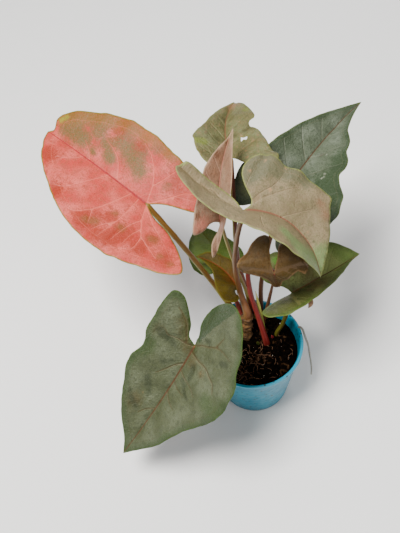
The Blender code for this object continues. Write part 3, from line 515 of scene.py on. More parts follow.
def blade_point(leaf, flat, relief=0.0):
    """Bend points of the flat blade into their places, in mm."""
    flat = np.asarray(flat, dtype=float)
    x, y = flat[:, 0], flat[:, 1]
    rib = rib_offset(leaf, y)
    side = (x >= rib).astype(int)
    fold, curl, lift = (np.radians(leaf[key])[side] for key in ("fold", "curl", "lift"))
    half_width = 0.5 * leaf["length"]
    away = np.abs(x - rib)
    out, rise = arc(fold, -curl / half_width, away)
    reach = away / half_width
    rise = rise + leaf["wave"] * reach ** 2 * np.sin(TAU * leaf["waves"] * y / leaf["length"])
    rise = rise + relief
    turn = np.where(y >= 0, -math.radians(leaf["droop"]) / leaf["length"], lift / half_width)
    forward, up = arc(0.0, turn, y)
    slope = turn * y
    across, along, above = blade_frame(leaf)
    return (np.array(leaf["at"]) + np.outer(rib + np.sign(x - rib) * out, across)
            + np.outer(forward - rise * np.sin(slope), along)
            + np.outer(up + rise * np.cos(slope), above))


def margin(leaf, step):
    """The flat outline: from the tip down the right half to the joint and up the left half."""
    tip = (0.0, leaf["length"])
    right = curve([tip] + leaf["right"] + [(0.0, 0.0)], step)
    left = curve([(0.0, 0.0)] + leaf["left"][::-1] + [tip], step)
    return np.vstack([right[:-1], left[:-1]])


def grown_vein(leaf, ring, start, angle, turn, inset):
    """Follow one vein from its start until it comes near the margin."""
    points = [np.array(start, dtype=float)]
    side = 1.0 if angle > 0 else -1.0
    bearing = abs(angle)
    for _ in range(80):
        direction = np.array([side * math.sin(math.radians(bearing)),
                              math.cos(math.radians(bearing))])
        ahead = points[-1] + BLADE_STEP * direction
        bearing += turn * BLADE_STEP
        if not inside(ahead[None], ring)[0]:
            break
        points.append(ahead)
        if len(points) > 4 and distance(ahead[None], ring)[0][0] < inset:
            break
    return np.array(points)


def leaf_veins(name, leaf, ring, inset):
    """Each vein of a blade as (points, relative width)."""
    if name in VEINS:
        return [(curve(points, BLADE_STEP), width) for points, width in VEINS[name]]
    veins = []
    for side in (-1, 1):
        for share, angle in LATERALS:
            y = leaf["length"] * (share + 0.02 * side)
            start = (float(rib_offset(leaf, y)), y)
            line = grown_vein(leaf, ring, start, side * angle, LATERAL_TURN, inset)
            if len(line) > 4:
                veins.append((line, 0.9))
        for angle, turn, width in LOBE_ANGLES:
            line = grown_vein(leaf, ring, (0.0, 0.3), side * angle, turn, inset)
            if len(line) > 3:
                veins.append((line, width))
                for share in (0.35, 0.65):
                    first = line[int(share * (len(line) - 1))]
                    branch = grown_vein(leaf, ring, first, side * (angle - 50), turn, inset)
                    if len(branch) > 4:
                        veins.append((branch, 0.6))
    return veins


def spread(flat, places):
    """How strongly a set of (x, y, radius) places covers each flat point."""
    total = np.zeros(len(flat))
    for x, y, radius in places:
        total += np.exp(-((flat[:, 0] - x) ** 2 + (flat[:, 1] - y) ** 2) / radius ** 2)
    return total


def ragged(points, scale, seed):
    """A smooth wander for flat points, between about -1 and 1."""
    return np.array([value_noise(Vector((x * scale, y * scale, seed))) for x, y in points])


def closed(ring):
    """A ring of points with its first point again at its end."""
    return np.vstack([ring, ring[:1]])


def sheet_grid(ring, rib, lines, holes):
    """Rows of points inside the blade, clear of its margin, its veins and its holes."""
    low, high = ring.min(0), ring.max(0)
    rows = []
    for row, y in enumerate(np.arange(low[1], high[1], BLADE_STEP * math.sqrt(3) / 2)):
        xs = np.arange(low[0] + 0.5 * BLADE_STEP * (row % 2), high[0], BLADE_STEP)
        rows.append(np.column_stack([xs, np.full(len(xs), y)]))
    grid = np.vstack(rows)
    grid = grid[inside(grid, ring)]
    keep = distance(grid, rib)[0] > RIB_ROWS[1] + 0.5 * BLADE_STEP
    for line in [closed(ring), *lines]:
        keep &= distance(grid, line)[0] > 0.6 * BLADE_STEP
    for hole in holes:
        keep &= ~inside(grid, hole) & (distance(grid, closed(hole))[0] > 0.4 * BLADE_STEP)
    return grid[keep]


def blade_sheet(name, leaf, look):
    """The flat blade as (points, triangles, veins, rings), with edges along midrib and veins."""
    holes = [curve(hole + hole[:1], 0.5 * BLADE_STEP)[:-1] for hole in look.get("holes", [])]
    ring = margin(leaf, BLADE_STEP)
    outward = ring - ring.mean(0)
    outward /= np.linalg.norm(outward, axis=1)[:, None]
    wander = UNEVEN * ragged(ring, UNEVEN_SCALE, len(name) + leaf["length"])
    for still in ((0.0, leaf["length"]), (0.0, 0.0)):
        wander *= np.clip(np.linalg.norm(ring - still, axis=1) / CALM, 0, 1)
    ring = ring + outward * wander[:, None]
    veins = leaf_veins(name, leaf, ring, look["inset"])
    lines = [line for line, _ in veins]
    heights = np.linspace(0, leaf["length"], max(3, round(leaf["length"] / BLADE_STEP)))[1:-1]
    rib = np.column_stack([rib_offset(leaf, heights), heights])
    beside = np.vstack([rib + (offset, 0.0) for offset in RIB_ROWS])
    beside = beside[inside(beside, ring) & (distance(beside, ring)[0] > 0.5 * BLADE_STEP)]
    points = [ring, rib, beside, sheet_grid(ring, rib, lines, holes)]
    edges = [(i, (i + 1) % len(ring)) for i in range(len(ring))]
    joint = int(np.linalg.norm(ring, axis=1).argmin())
    chain = [joint, *range(len(ring), len(ring) + len(rib)), 0]
    edges += zip(chain, chain[1:])
    count = sum(len(part) for part in points)
    for line in lines:
        inner = line[1:]
        inner = inner[inside(inner, ring)]
        points.append(inner)
        edges += [(count + i, count + i + 1) for i in range(len(inner) - 1)]
        count += len(inner)
    for hole in holes:
        points.append(hole)
        edges += [(count + i, count + (i + 1) % len(hole)) for i in range(len(hole))]
        count += len(hole)
    stacked = [Vector(point) for point in np.vstack(points)]
    found = delaunay_2d_cdt(stacked, edges, [], 1, 1e-5)
    flat = np.array([tuple(p) for p in found[0]])
    corners = np.array([tuple(f) for f in found[2]])
    for hole in holes:
        corners = corners[~inside(flat[corners].mean(axis=1), hole)]
    return flat, corners, veins, [ring] + holes


def blade_normals(points, triangles):
    """The sheet's normal at each point."""
    a, b, c = (points[triangles[:, i]] for i in range(3))
    face_normals = np.cross(b - a, c - a)
    normals = np.zeros_like(points)
    for i in range(3):
        np.add.at(normals, triangles[:, i], face_normals)
    return normals / np.maximum(np.linalg.norm(normals, axis=1), 1e-12)[:, None]


def swell(gap, height, reach):
    """A rounded ridge's height at a distance from its line."""
    return height * np.exp(-(gap / reach) ** 2)


def closed_faces(triangles, count):
    """The upper face's triangles, the margin's strip and the under face's triangles."""
    upper = [tuple(corner) for corner in triangles.tolist()]
    used = {pair: True for a, b, c in upper for pair in ((a, b), (b, c), (c, a))}
    strip = []
    for a, b in used:
        if (b, a) not in used:
            strip += [(b, a, a + count), (b, a + count, b + count)]
    under = [(c + count, b + count, a + count) for a, b, c in upper]
    return upper, strip, under


def add_blade(name, leaf, look):
    """One leaf blade with veins, relief, a thin margin and its two faces' materials."""
    flat, corners, veins, rings = blade_sheet(name, leaf, look)
    ab = flat[corners[:, 1]] - flat[corners[:, 0]]
    ac = flat[corners[:, 2]] - flat[corners[:, 0]]
    backward = ab[:, 0] * ac[:, 1] - ab[:, 1] * ac[:, 0] < 0
    corners[backward] = corners[backward][:, [0, 2, 1]]

    edge = np.min([distance(flat, closed(ring))[0] for ring in rings], axis=0)
    heights = np.linspace(0, leaf["length"], 60)
    rib, along = distance(flat, np.column_stack([rib_offset(leaf, heights), heights]))
    rib_width = RIB_WIDTHS[0] + (RIB_WIDTHS[1] - RIB_WIDTHS[0]) * along
    vein = np.full(len(flat), 99.0)
    raw = rib
    for line, width in veins:
        gap, along = distance(flat, line)
        taper = VEIN_WIDTHS[0] + (VEIN_WIDTHS[1] - VEIN_WIDTHS[0]) * along
        vein = np.minimum(vein, gap / (width * taper))
        raw = np.minimum(raw, gap)
    marks = {"vein": vein, "rib": rib / rib_width, "edge": edge,
             "blotches": spread(flat, look["blotches"]),
             "flushes": spread(flat, look.get("flushes", []))}
    for index, (_, places) in enumerate(look.get("spots", [])):
        marks["spots_%d" % index] = spread(flat, places)

    relief = look.get("quilt", QUILT) * np.minimum(raw / QUILT_REACH, 1)
    relief *= np.minimum(edge / QUILT_EASE, 1)
    heave = look.get("rumple", RUMPLE) * ragged(flat, RUMPLE_SCALE, len(name))
    relief = relief + heave * np.minimum(edge / RUMPLE_EASE, 1)
    for x, y, radius, height in look.get("dents", []):
        relief = relief + height * spread(flat, [(x, y, radius)])
    if "turned" in look:
        fold = look["turned"]
        beyond = inside(flat, np.array(fold["line"] + fold["beyond"]))
        marks["turned"] = np.where(beyond, distance(flat, np.array(fold["line"]))[0], 0.0)
        relief = relief - fold["slope"] * marks["turned"]
    middle = blade_point(leaf, flat, relief)
    normals = blade_normals(middle, corners)
    thin = MARGIN_THIN + (1 - MARGIN_THIN) * np.minimum(edge / MARGIN_REACH, 1)
    half = 0.5 * BLADE_THICKNESS * thin
    groove = swell(rib, *GROOVE)
    ridge = rib_width * swell(rib, *RIB_RIDGE) + swell(raw, *VEIN_RIDGE)
    upper = middle + normals * (half - groove)[:, None]
    under = middle - normals * (half + ridge * thin)[:, None]

    faces, strip, backs = closed_faces(corners, len(flat))
    thing = add_mesh("leaf_" + name, np.vstack([upper, under]), faces + strip + backs,
                     [leaf_material(name, look), under_material(name, look)])
    sides = np.zeros(len(thing.data.polygons), dtype=np.int32)
    sides[len(faces) + len(strip):] = 1
    thing.data.polygons.foreach_set("material_index", sides)
    for key, values in marks.items():
        set_float(thing, key, np.tile(values, 2))
    set_vector(thing, "flat", np.tile(np.column_stack([flat, np.zeros(len(flat))]), (2, 1)))
    ride(thing, "leaf_" + name, "blade_" + name)


def ride(thing, slot, *nodes):
    """Hang a piece on the one body, in place of its solids; its finish's slot is not used."""
    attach(thing, "root")
    if nodes:
        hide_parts(*nodes)


# Materials

class Shader:
    """A Principled material with short calls for its nodes. Their limits were set one by one."""

    def __init__(self, name, roughness=0.5, gloss=0.5, tone=None):
        self.made = bpy.data.materials.new(name)
        self.made.use_nodes = True
        self.tree = self.made.node_tree
        self.out = self.tree.nodes["Principled BSDF"]
        self.out.inputs["Roughness"].default_value = roughness
        self.out.inputs["Specular IOR Level"].default_value = gloss
        self.tone = tone

    def put(self, socket, value):
        """Join a value to one of a node's inputs, or set it there."""
        if isinstance(value, bpy.types.NodeSocket):
            self.tree.links.new(value, socket)
        elif socket.type == "RGBA":
            socket.default_value = (*value, 1.0)
        else:
            socket.default_value = value

    def node(self, kind, inputs):
        """A new node with its inputs joined or set."""
        node = self.tree.nodes.new("ShaderNode" + kind)
        for key, value in inputs.items():
            self.put(node.inputs[key], value)
        return node

    def attribute(self, name, output="Fac"):
        node = self.node("Attribute", {})
        node.attribute_name = name
        return node.outputs[output]

    def place(self):
        """Object coordinates, in metres."""
        return self.node("TexCoord", {}).outputs["Object"]

    def math(self, operation, *values):
        node = self.tree.nodes.new("ShaderNodeMath")
        node.operation = operation
        for socket, value in zip(node.inputs, values):
            self.put(socket, value)
        return node.outputs[0]

    def plus(self, value, other, times=1.0):
        """A value and a share of another."""
        return self.math("MULTIPLY_ADD", other, times, value)

    def between(self, value, low, high, to_low=0.0, to_high=1.0):
        """Ease a value from one number to another as it goes from low to high."""
        node = self.node("MapRange", {"Value": value, "From Min": low, "From Max": high,
                                      "To Min": to_low, "To Max": to_high})
        node.interpolation_type = "SMOOTHSTEP"
        return node.outputs["Result"]

    def noise(self, vector, scale, detail=3.0, roughness=0.55):
        node = self.node("TexNoise", {"Vector": vector, "Scale": scale, "Detail": detail,
                                      "Roughness": roughness})
        return node.outputs["Fac"]

    def cells(self, vector, scale, feature="DISTANCE_TO_EDGE"):
        node = self.node("TexVoronoi", {"Vector": vector, "Scale": scale})
        node.feature = feature
        return node.outputs["Distance"]

    def stretched(self, vector, scale):
        return self.node("Mapping", {"Vector": vector, "Scale": scale}).outputs["Vector"]

    def mix(self, share, a, b):
        node = self.tree.nodes.new("ShaderNodeMix")
        node.data_type = "RGBA"
        for index, value in ((0, share), (6, a), (7, b)):
            self.put(node.inputs[index], value)
        return node.outputs[2]

    def colour(self, value):
        self.tone = value
        self.put(self.out.inputs["Base Color"], value)

    def over(self, mask, low, high, tone, to_low=0.0, to_high=1.0):
        """Lay a colour over what is there, by a share that eases with the mask."""
        self.colour(self.mix(self.between(mask, low, high, to_low, to_high), self.tone, tone))

    def bump(self, height, strength, depth):
        node = self.node("Bump", {"Height": height, "Strength": strength, "Distance": depth * MM})
        self.put(self.out.inputs["Normal"], node.outputs["Normal"])


def leaf_material(name, look):
    """The upper face: mottling, blotches, veins, midrib and margin."""
    shade = Shader("leaf_" + name, LEAF_ROUGHNESS, look.get("gloss", LEAF_GLOSS), look["base"])
    flat = shade.attribute("flat", "Vector")
    edge = shade.attribute("edge")
    vein = shade.attribute("vein")
    broad = shade.noise(flat, 0.07, 4.0)
    middle = shade.noise(flat, 0.28, 6.0, 0.7)
    patch = shade.noise(shade.stretched(flat, (0.55, 0.35, 1.0)), 1.0, 6.0, 0.72)
    fine = shade.noise(flat, 1.5, 4.0, 0.65)
    net = shade.cells(flat, 0.75)
    shade.over(broad, 0.4, 0.6, look["light"])
    shade.over(middle, 0.47, 0.64, look["dark"], 0.0, 0.6)
    shade.over(patch, 0.52, 0.66, look["light"], 0.0, 0.4)
    for key, tone in (("blotches", "blotch"), ("flushes", "flush")):
        wander = shade.plus(shade.plus(shade.attribute(key), patch, 2.2), fine, 1.2)
        shade.over(wander, 1.6, 2.7, look[tone], 0.0, look.get("cover", 0.8))
    for index, (tone, _) in enumerate(look.get("spots", [])):
        spots = shade.attribute("spots_%d" % index)
        wander = shade.plus(shade.plus(spots, patch, 1.4), fine, 0.8)
        shade.over(wander, 1.35, 2.15, tone, 0.0, 0.8)
    if "border" in look:
        tone, width = look["border"]
        shade.over(shade.plus(edge, patch, 5.0), 2.2, 2.2 + width, tone, 0.75, 0.0)
    if "turned" in look:
        shade.over(shade.attribute("turned"), 0.0, 0.3, look["turned"]["tone"], 0.0, 0.85)
    shade.over(net, 0.0, 0.09, look["light"], 0.22, 0.0)
    shade.over(fine, 0.48, 0.68, look["dark"], 0.0, 0.5)
    show = look.get("show", 0.5)
    shade.over(vein, 0.3, 2.4, look.get("halo", look["light"]), 0.45 * show, 0.0)
    marginal_vein = shade.math("MULTIPLY_ADD", broad, 1.6, look["inset"] - 0.8)
    aside = shade.math("ABSOLUTE", shade.math("SUBTRACT", edge, marginal_vein))
    shade.over(aside, 0.05, 0.3, look["vein"], look.get("collar", 0.25), 0.0)
    shade.over(vein, 0.08, 0.42, look["vein"], show, 0.0)
    shade.over(shade.attribute("rib"), 0.3, 0.75, look["rib"], 1.0, 0.0)
    shade.over(shade.plus(edge, patch, 1.2), 0.8, 1.5, look["edge"], 0.9, 0.0)
    rough = shade.between(fine, 0.3, 0.7, LEAF_ROUGHNESS - 0.06, LEAF_ROUGHNESS + 0.1)
    shade.put(shade.out.inputs["Roughness"], rough)
    height = shade.between(vein, 0.0, 1.2, 0.0, 0.45)
    for layer, share in ((middle, 1.6), (patch, 0.8), (net, 0.35), (fine, 0.25)):
        height = shade.plus(height, layer, share)
    shade.bump(height, 0.7, look.get("bump", 0.5))
    return shade.made


def under_material(name, look):
    """The under face: plainer, with raised veins."""
    shade = Shader("under_" + name, 0.55, LEAF_GLOSS, look["under"])
    flat = shade.attribute("flat", "Vector")
    vein = shade.attribute("vein")
    fine = shade.noise(flat, 1.3)
    shade.over(shade.noise(flat, 0.12, 4.0), 0.35, 0.65, look["dark"], 0.0, 0.5)
    shade.over(fine, 0.5, 0.75, look["light"], 0.0, 0.3)
    shade.over(vein, 0.1, 0.6, look["vein"], 0.6, 0.0)
    shade.over(shade.attribute("rib"), 0.5, 1.1, look["vein"], 0.9, 0.0)
    shade.over(shade.attribute("edge"), 0.4, 1.0, look["edge"], 0.9, 0.0)
    raised = shade.between(vein, 0.0, 0.9, 1.0, 0.0)
    shade.bump(shade.plus(raised, fine, 0.25), 0.5, 0.3)
    return shade.made


def stalk_material(name, main, side):
    """A petiole's skin: two colours round it, the second on the side toward the key light as partly
    its own tone and partly painted light; streaks along it and pale flecks.
    """
    shade = Shader("stalk_" + name, 0.4, LEAF_GLOSS, main)
    skin = shade.attribute("skin", "Vector")
    streaks = shade.noise(shade.stretched(skin, (2.2, 0.12, 1.0)), 1.0, 4.0, 0.6)
    flecks = shade.noise(shade.stretched(skin, (3.0, 1.1, 1.0)), 1.0, 2.0)
    key_lit_flank = shade.plus(shade.attribute("key_lit_flank"), shade.noise(skin, 0.25), 0.9)
    darker = tuple(0.5 * value for value in main)
    paler = tuple(1.6 * value + 0.012 for value in side)
    # partly painted light: the lighter second colour goes on the side toward the key light, partly
    # the stalk's own two tones
    shade.over(key_lit_flank, 0.55, 1.25, side)
    shade.over(streaks, 0.5, 0.72, darker, 0.0, 0.7)
    shade.over(flecks, 0.66, 0.76, paler, 0.0, 0.55)
    shade.over(shade.attribute("along"), 0.93, 1.0, side, 0.0, 0.5)
    shade.bump(streaks, 0.5, 0.25)
    return shade.made


# Petioles, stem and shoots

def sweep(path, radii, sides, bumps=None):
    """A closed tube: points, faces, and each point's skin place, its facing toward the key light and
    share of the length.
    """
    tangents = np.gradient(path, axis=0)
    tangents /= np.linalg.norm(tangents, axis=1)[:, None]
    across = np.cross(tangents[0], (0.0, 0.0, 1.0))
    if np.linalg.norm(across) < 0.05:
        across = np.array([1.0, 0.0, 0.0])
    lengths = np.concatenate([[0], np.cumsum(np.linalg.norm(np.diff(path, axis=0), axis=1))])
    angles = TAU * np.arange(sides) / sides
    points, skin, key_lit_flank, along = [], [], [], []
    for i, (centre, tangent) in enumerate(zip(path, tangents)):
        across = across - tangent * across.dot(tangent)
        across /= np.linalg.norm(across)
        beside = np.cross(tangent, across)
        for angle in angles:
            radius = radii[i]
            if bumps is not None:
                radius = radius * (1 + bumps(lengths[i], angle))
            spoke = across * math.cos(angle) + beside * math.sin(angle)
            points.append(centre + radius * spoke)
            skin.append((radii[i] * angle, lengths[i], radii[i] * math.sin(angle)))
            key_lit_flank.append(-spoke[0])
            along.append(lengths[i] / lengths[-1])
    faces = [tuple(range(sides))[::-1],
             tuple(range(len(points) - sides, len(points)))]
    for ring in range(len(path) - 1):
        for side in range(sides):
            after = (side + 1) % sides
            faces.append((ring * sides + side, ring * sides + after,
                          (ring + 1) * sides + after, (ring + 1) * sides + side))
    return np.array(points), faces, np.array(skin), np.array(key_lit_flank), np.array(along)


def add_tube(name, tube, made, slot, *nodes):
    """A piece made of a swept tube, with the skin places that its material reads."""
    thing = add_mesh(name, tube[0], tube[1], [made])
    set_vector(thing, "skin", tube[2])
    ride(thing, slot, *nodes)
    return thing


def add_stalk(name, path, radii, colours, slot, node, bumps):
    """One petiole or shoot, with what its material needs."""
    tube = sweep(path, radii, STALK_SIDES, bumps)
    thing = add_tube(name, tube, stalk_material(name, *colours), slot, node)
    set_float(thing, "key_lit_flank", tube[3])
    set_float(thing, "along", tube[4])


def petiole_path(foot, via, leaf):
    """From the soil through the waypoints into the blade's joint."""
    places = np.array([(float(rib_offset(leaf, y)), y) for y in (0.6, 2.4)])
    near = blade_point(leaf, places)
    above = blade_frame(leaf)[2]
    end = near[0] - 0.35 * above
    over = near[1] - 0.5 * above
    return curve([*foot, *via, end, over], 1.5)


def petiole_radii(path, radii):
    """Wide at the sheath, slimmer above, and drawn in where it meets the blade."""
    share = np.linspace(0, 1, len(path))
    plain = radii[1] + (radii[0] - radii[1]) * (1 - share) ** FLARE
    sheath = 1 + swell(share, *SHEATH)
    end = np.clip((1 - share) * len(path) / 2.5, 0.35, 1.0)
    return plain * sheath * end


def ripple(seed, amount):
    """Slight unevenness round and along a stalk."""
    def bumps(reached, angle):
        spot = Vector((math.cos(angle) * 1.2, math.sin(angle) * 1.2 + seed, reached * 0.16))
        return amount * value_noise(spot)
    return bumps


def add_petioles():
    """The ten petioles, one of which grows on from the stem."""
    slots = {"pink": "petiole_olive", "young": "petiole_yellow", "top": "petiole_red",
             "right": "petiole_brown", "low_right": "petiole_olive", "cupped": "petiole_red",
             "back": "petiole_olive", "small_left": "petiole_brown", "low_left": "petiole_red",
             "front": "petiole_brown"}
    starts = {name: [(*made["base"], FOOT), (*made["base"], SOIL_TOP + 2.0)]
              for name, made in PETIOLES.items()}
    base, top = np.array((*STEM_BASE, FOOT)), np.array(STEM_TOP)
    up = (top - base) / np.linalg.norm(top - base)
    starts["front"] = [top - 1.5 * up, top + 3.5 * up]
    for index, (name, made) in enumerate((PETIOLES | {"front": FRONT_PETIOLE}).items()):
        path = petiole_path(starts[name], made["via"], BLADES[name])
        add_stalk("stalk_" + name, path, petiole_radii(path, made["radii"]),
                  (made["main"], made["side"]), slots[name], "petiole_" + name,
                  ripple(index, 0.12))


def add_shoots():
    """The bud, the sprout and the young leaves still rolled up."""
    slots = {"red_bud": "bud_red", "green_sprout": "shoot_green", "new_spear": "petiole_brown",
             "yellow_shoot": "shoot_green"}
    for index, (name, made) in enumerate(SHOOTS.items()):
        path = curve([(*made["base"], FOOT), (*made["base"], SOIL_TOP), made["top"]], 1.0)
        radii = made["radius"] * np.clip(0.15 + 3.0 * np.linspace(1, 0, len(path)), 0.15, 1.0)
        add_stalk("young_" + name, path, radii, (made["main"], made["side"]), slots[name], name,
                  ripple(20 + index, 0.15))


def add_stem():
    """The short knobby stem, ringed with old leaf scars and root nubs."""
    path = curve([(*STEM_BASE, FOOT), STEM_TOP], 0.5)
    share = np.linspace(0, 1, len(path))
    radii = STEM_R + 0.35 * np.cos(TAU * 3 * share) + 0.14 * np.cos(TAU * 8 * share + 1)

    def nubs(reached, angle):
        spot = Vector((2.2 * math.cos(angle), 2.2 * math.sin(angle), reached * 0.7))
        return 0.26 * value_noise(spot)

    shade = Shader("stem_bark", 0.75, tone=(0.03, 0.01, 0.003))
    skin = shade.attribute("skin", "Vector")
    scars = shade.noise(shade.stretched(skin, (0.25, 1.6, 0.25)), 1.0, 4.0, 0.65)
    grain = shade.noise(skin, 1.8, 4.0)
    shade.over(scars, 0.38, 0.62, (0.13, 0.055, 0.009))
    shade.over(grain, 0.5, 0.75, (0.27, 0.14, 0.03), 0.0, 0.8)
    shade.bump(shade.plus(scars, grain), 0.9, 0.6)
    add_tube("stem", sweep(path, radii, 36, nubs), shade.made, "bark", "main_stem")


# Pot and soil

def wall_radius(z):
    """The outer radius of the pot's tapered wall at a height."""
    return POT_BASE_R + (POT_TOP_R - POT_BASE_R) * z / POT_HEIGHT


def pot_profile():
    """The wall's section as (radius, height), from the middle of the underside round to the floor."""
    inner_top = POT_TOP_R - POT_WALL
    inner_base = wall_radius(POT_FLOOR) - POT_WALL
    low_lip = POT_HEIGHT - LIP_HEIGHT
    profile = [(0, 0), (POT_BASE_R - 1.2, 0), (POT_BASE_R - 0.4, 0.15), (POT_BASE_R, 0.8)]
    profile += [(wall_radius(z), z) for z in np.linspace(3, low_lip - 0.4, 12)]
    profile += [(POT_TOP_R + 0.1, low_lip - 0.1), (POT_LIP_R - 0.25, low_lip + 0.05),
                (POT_LIP_R, low_lip + 0.35), (POT_LIP_R, POT_HEIGHT - 0.6),
                (POT_LIP_R - 0.2, POT_HEIGHT - 0.15), (POT_LIP_R - 0.6, POT_HEIGHT),
                (inner_top + 0.45, POT_HEIGHT - 0.05), (inner_top + 0.1, POT_HEIGHT - 0.4)]
    inside_wall = np.linspace(POT_HEIGHT - 1.5, POT_FLOOR + 1.5, 10)
    profile += [(wall_radius(z) - POT_WALL, z) for z in inside_wall]
    profile += [(inner_base - 0.8, POT_FLOOR), (0, POT_FLOOR)]
    return profile


def lathe(profile, sides):
    """Points and faces of a profile turned round Z; radius 0 makes one point."""
    angles = TAU * np.arange(sides) / sides
    points, rings, faces = [], [], []
    for radius, height in profile:
        first = len(points)
        if radius == 0:
            rings.append([first] * sides)
            points.append((0, 0, height))
        else:
            rings.append(range(first, first + sides))
            points += [(radius * math.cos(a), radius * math.sin(a), height) for a in angles]
    for low, high in zip(rings, rings[1:]):
        for side in range(sides):
            after = (side + 1) % sides
            faces.append(tuple(dict.fromkeys((low[side], low[after], high[after], high[side]))))
    return points, faces


def pot_material():
    """Blue plastic, scuffed and specked with soil, with painted light on the lip."""
    shade = Shader("pot_plastic", 0.38, tone=(0.001, 0.15, 0.235))
    place = shade.place()
    broad = shade.noise(place, 60.0, 4.0)
    scuffs = shade.noise(shade.stretched(place, (1.0, 1.0, 2.5)), 260.0, 5.0, 0.7)
    specks = shade.cells(place, 330.0, "F1")
    height = shade.node("SeparateXYZ", {"Vector": place}).outputs["Z"]
    low_lip = (POT_HEIGHT - LIP_HEIGHT) * MM
    shade.over(broad, 0.35, 0.65, (0.003, 0.19, 0.28))
    # painted light: a paler blue on the lip and rim, where light catches them
    shade.over(height, low_lip - 0.3 * MM, low_lip, (0.002, 0.24, 0.36))
    shade.over(scuffs, 0.56, 0.72, (0.04, 0.26, 0.33), 0.0, 0.4)
    shade.over(shade.plus(specks, scuffs, 0.5), 0.38, 0.5, (0.012, 0.016, 0.013), 0.95, 0.0)
    shade.put(shade.out.inputs["Roughness"], shade.between(scuffs, 0.3, 0.7, 0.3, 0.55))
    shade.bump(shade.plus(scuffs, broad), 0.25, 0.15)
    return shade.made


def add_pot():
    """The shell, with its drain holes cut."""
    points, faces = lathe(pot_profile(), POT_SIDES)
    thing = add_mesh("pot_shell", points, faces, [pot_material()])
    cutters = []
    for index in range(DRAIN_COUNT):
        angle = TAU * (index + 0.5) / DRAIN_COUNT
        x, y = DRAIN_CIRCLE_R * math.cos(angle), DRAIN_CIRCLE_R * math.sin(angle)
        path = np.array([(x, y, -2.0), (x, y, POT_FLOOR + 2.0)])
        hole, sides, *_ = sweep(path, [DRAIN_R, DRAIN_R], 24)
        cutters.append(add_mesh("drain_%d" % index, hole, sides, []))
        boolean = thing.modifiers.new("drain", "BOOLEAN")
        boolean.operation = "DIFFERENCE"
        boolean.solver = "EXACT"
        boolean.object = cutters[-1]
    graph = bpy.context.evaluated_depsgraph_get()
    mesh = bpy.data.meshes.new_from_object(thing.evaluated_get(graph))
    thing.modifiers.clear()
    thing.data = mesh
    for cutter in cutters:
        bpy.data.objects.remove(cutter, do_unlink=True)
    mesh.shade_smooth()
    mesh.set_sharp_from_angle(angle=math.radians(40))
    ride(thing, "pot", "pot")


def soil_height(x, y):
    """The rough top of the soil, mm."""
    return SOIL_TOP + sum(height * value_noise(Vector((x * scale, y * scale, seed)))
                          for scale, seed, height in SOIL_RELIEF)


def soil_material(name, dark, light):
    """Something dull and gritty, dark with lighter patches."""
    shade = Shader(name, 0.95, 0.02, dark)
    place = shade.place()
    broad = shade.noise(place, 500.0, 5.0, 0.7)
    grit = shade.cells(place, 1100.0, "F1")
    shade.over(broad, 0.4, 0.7, light)
    shade.over(grit, 0.1, 0.35, (0.012, 0.006, 0.003), 0.35, 0.0)
    shade.bump(shade.plus(broad, grit), 1.0, 0.5)
    return shade.made


def add_soil():
    """The root ball: a finely rough top and plain sides down the pot."""
    low = POT_FLOOR + 0.2
    edge_r = wall_radius(SOIL_TOP) - POT_WALL - 0.2
    profile = [(0, low), (wall_radius(low) - POT_WALL - 1.2, low),
               (wall_radius(low + 2) - POT_WALL - 0.2, low + 2)]
    profile += [(radius, SOIL_TOP) for radius in np.linspace(edge_r, 0, SOIL_RINGS + 1)]
    points, faces = lathe(profile, SOIL_SIDES)
    points = [(x, y, soil_height(x, y) if z == SOIL_TOP else z) for x, y, z in points]
    # partly painted shade: the soil is made darker than its own dark tone, as the shade under the
    # leaves
    made = soil_material("soil", (0.001, 0.0006, 0.0003), (0.006, 0.0032, 0.0016))
    ride(add_mesh("soil_bed", points, faces, [made]), "soil", "soil")


def scattered(rng, reach):
    """A random place on the soil."""
    angle, radius = TAU * rng.random(), reach * math.sqrt(rng.random())
    return radius * math.cos(angle), radius * math.sin(angle)


def in_the_way(x, y):
    """Whether a crumb here would sit in a stem."""
    feet = [(STEM_BASE, STEM_R + 1.1)]
    feet += [(made["base"], made["radii"][0] + 0.8) for made in PETIOLES.values()]
    return any(math.hypot(x - foot[0], y - foot[1]) < gap for foot, gap in feet)


def grain_form():
    """A rounded grain with 12 corners and 20 faces: an icosahedron on its tip."""
    corners = [(0, 0, 1)]
    for start, height in ((0, 0.45), (TAU / 10, -0.45)):
        for a in (start + TAU * k / 5 for k in range(5)):
            corners.append((round(0.894 * math.cos(a), 2), round(0.894 * math.sin(a), 2), height))
    corners.append((0, 0, -1))
    faces = []
    for k in range(5):
        after = (k + 1) % 5
        faces += [(0, 1 + k, 1 + after), (1 + k, 6 + k, 1 + after),
                  (6 + k, 6 + after, 1 + after), (11, 6 + after, 6 + k)]
    return corners, faces


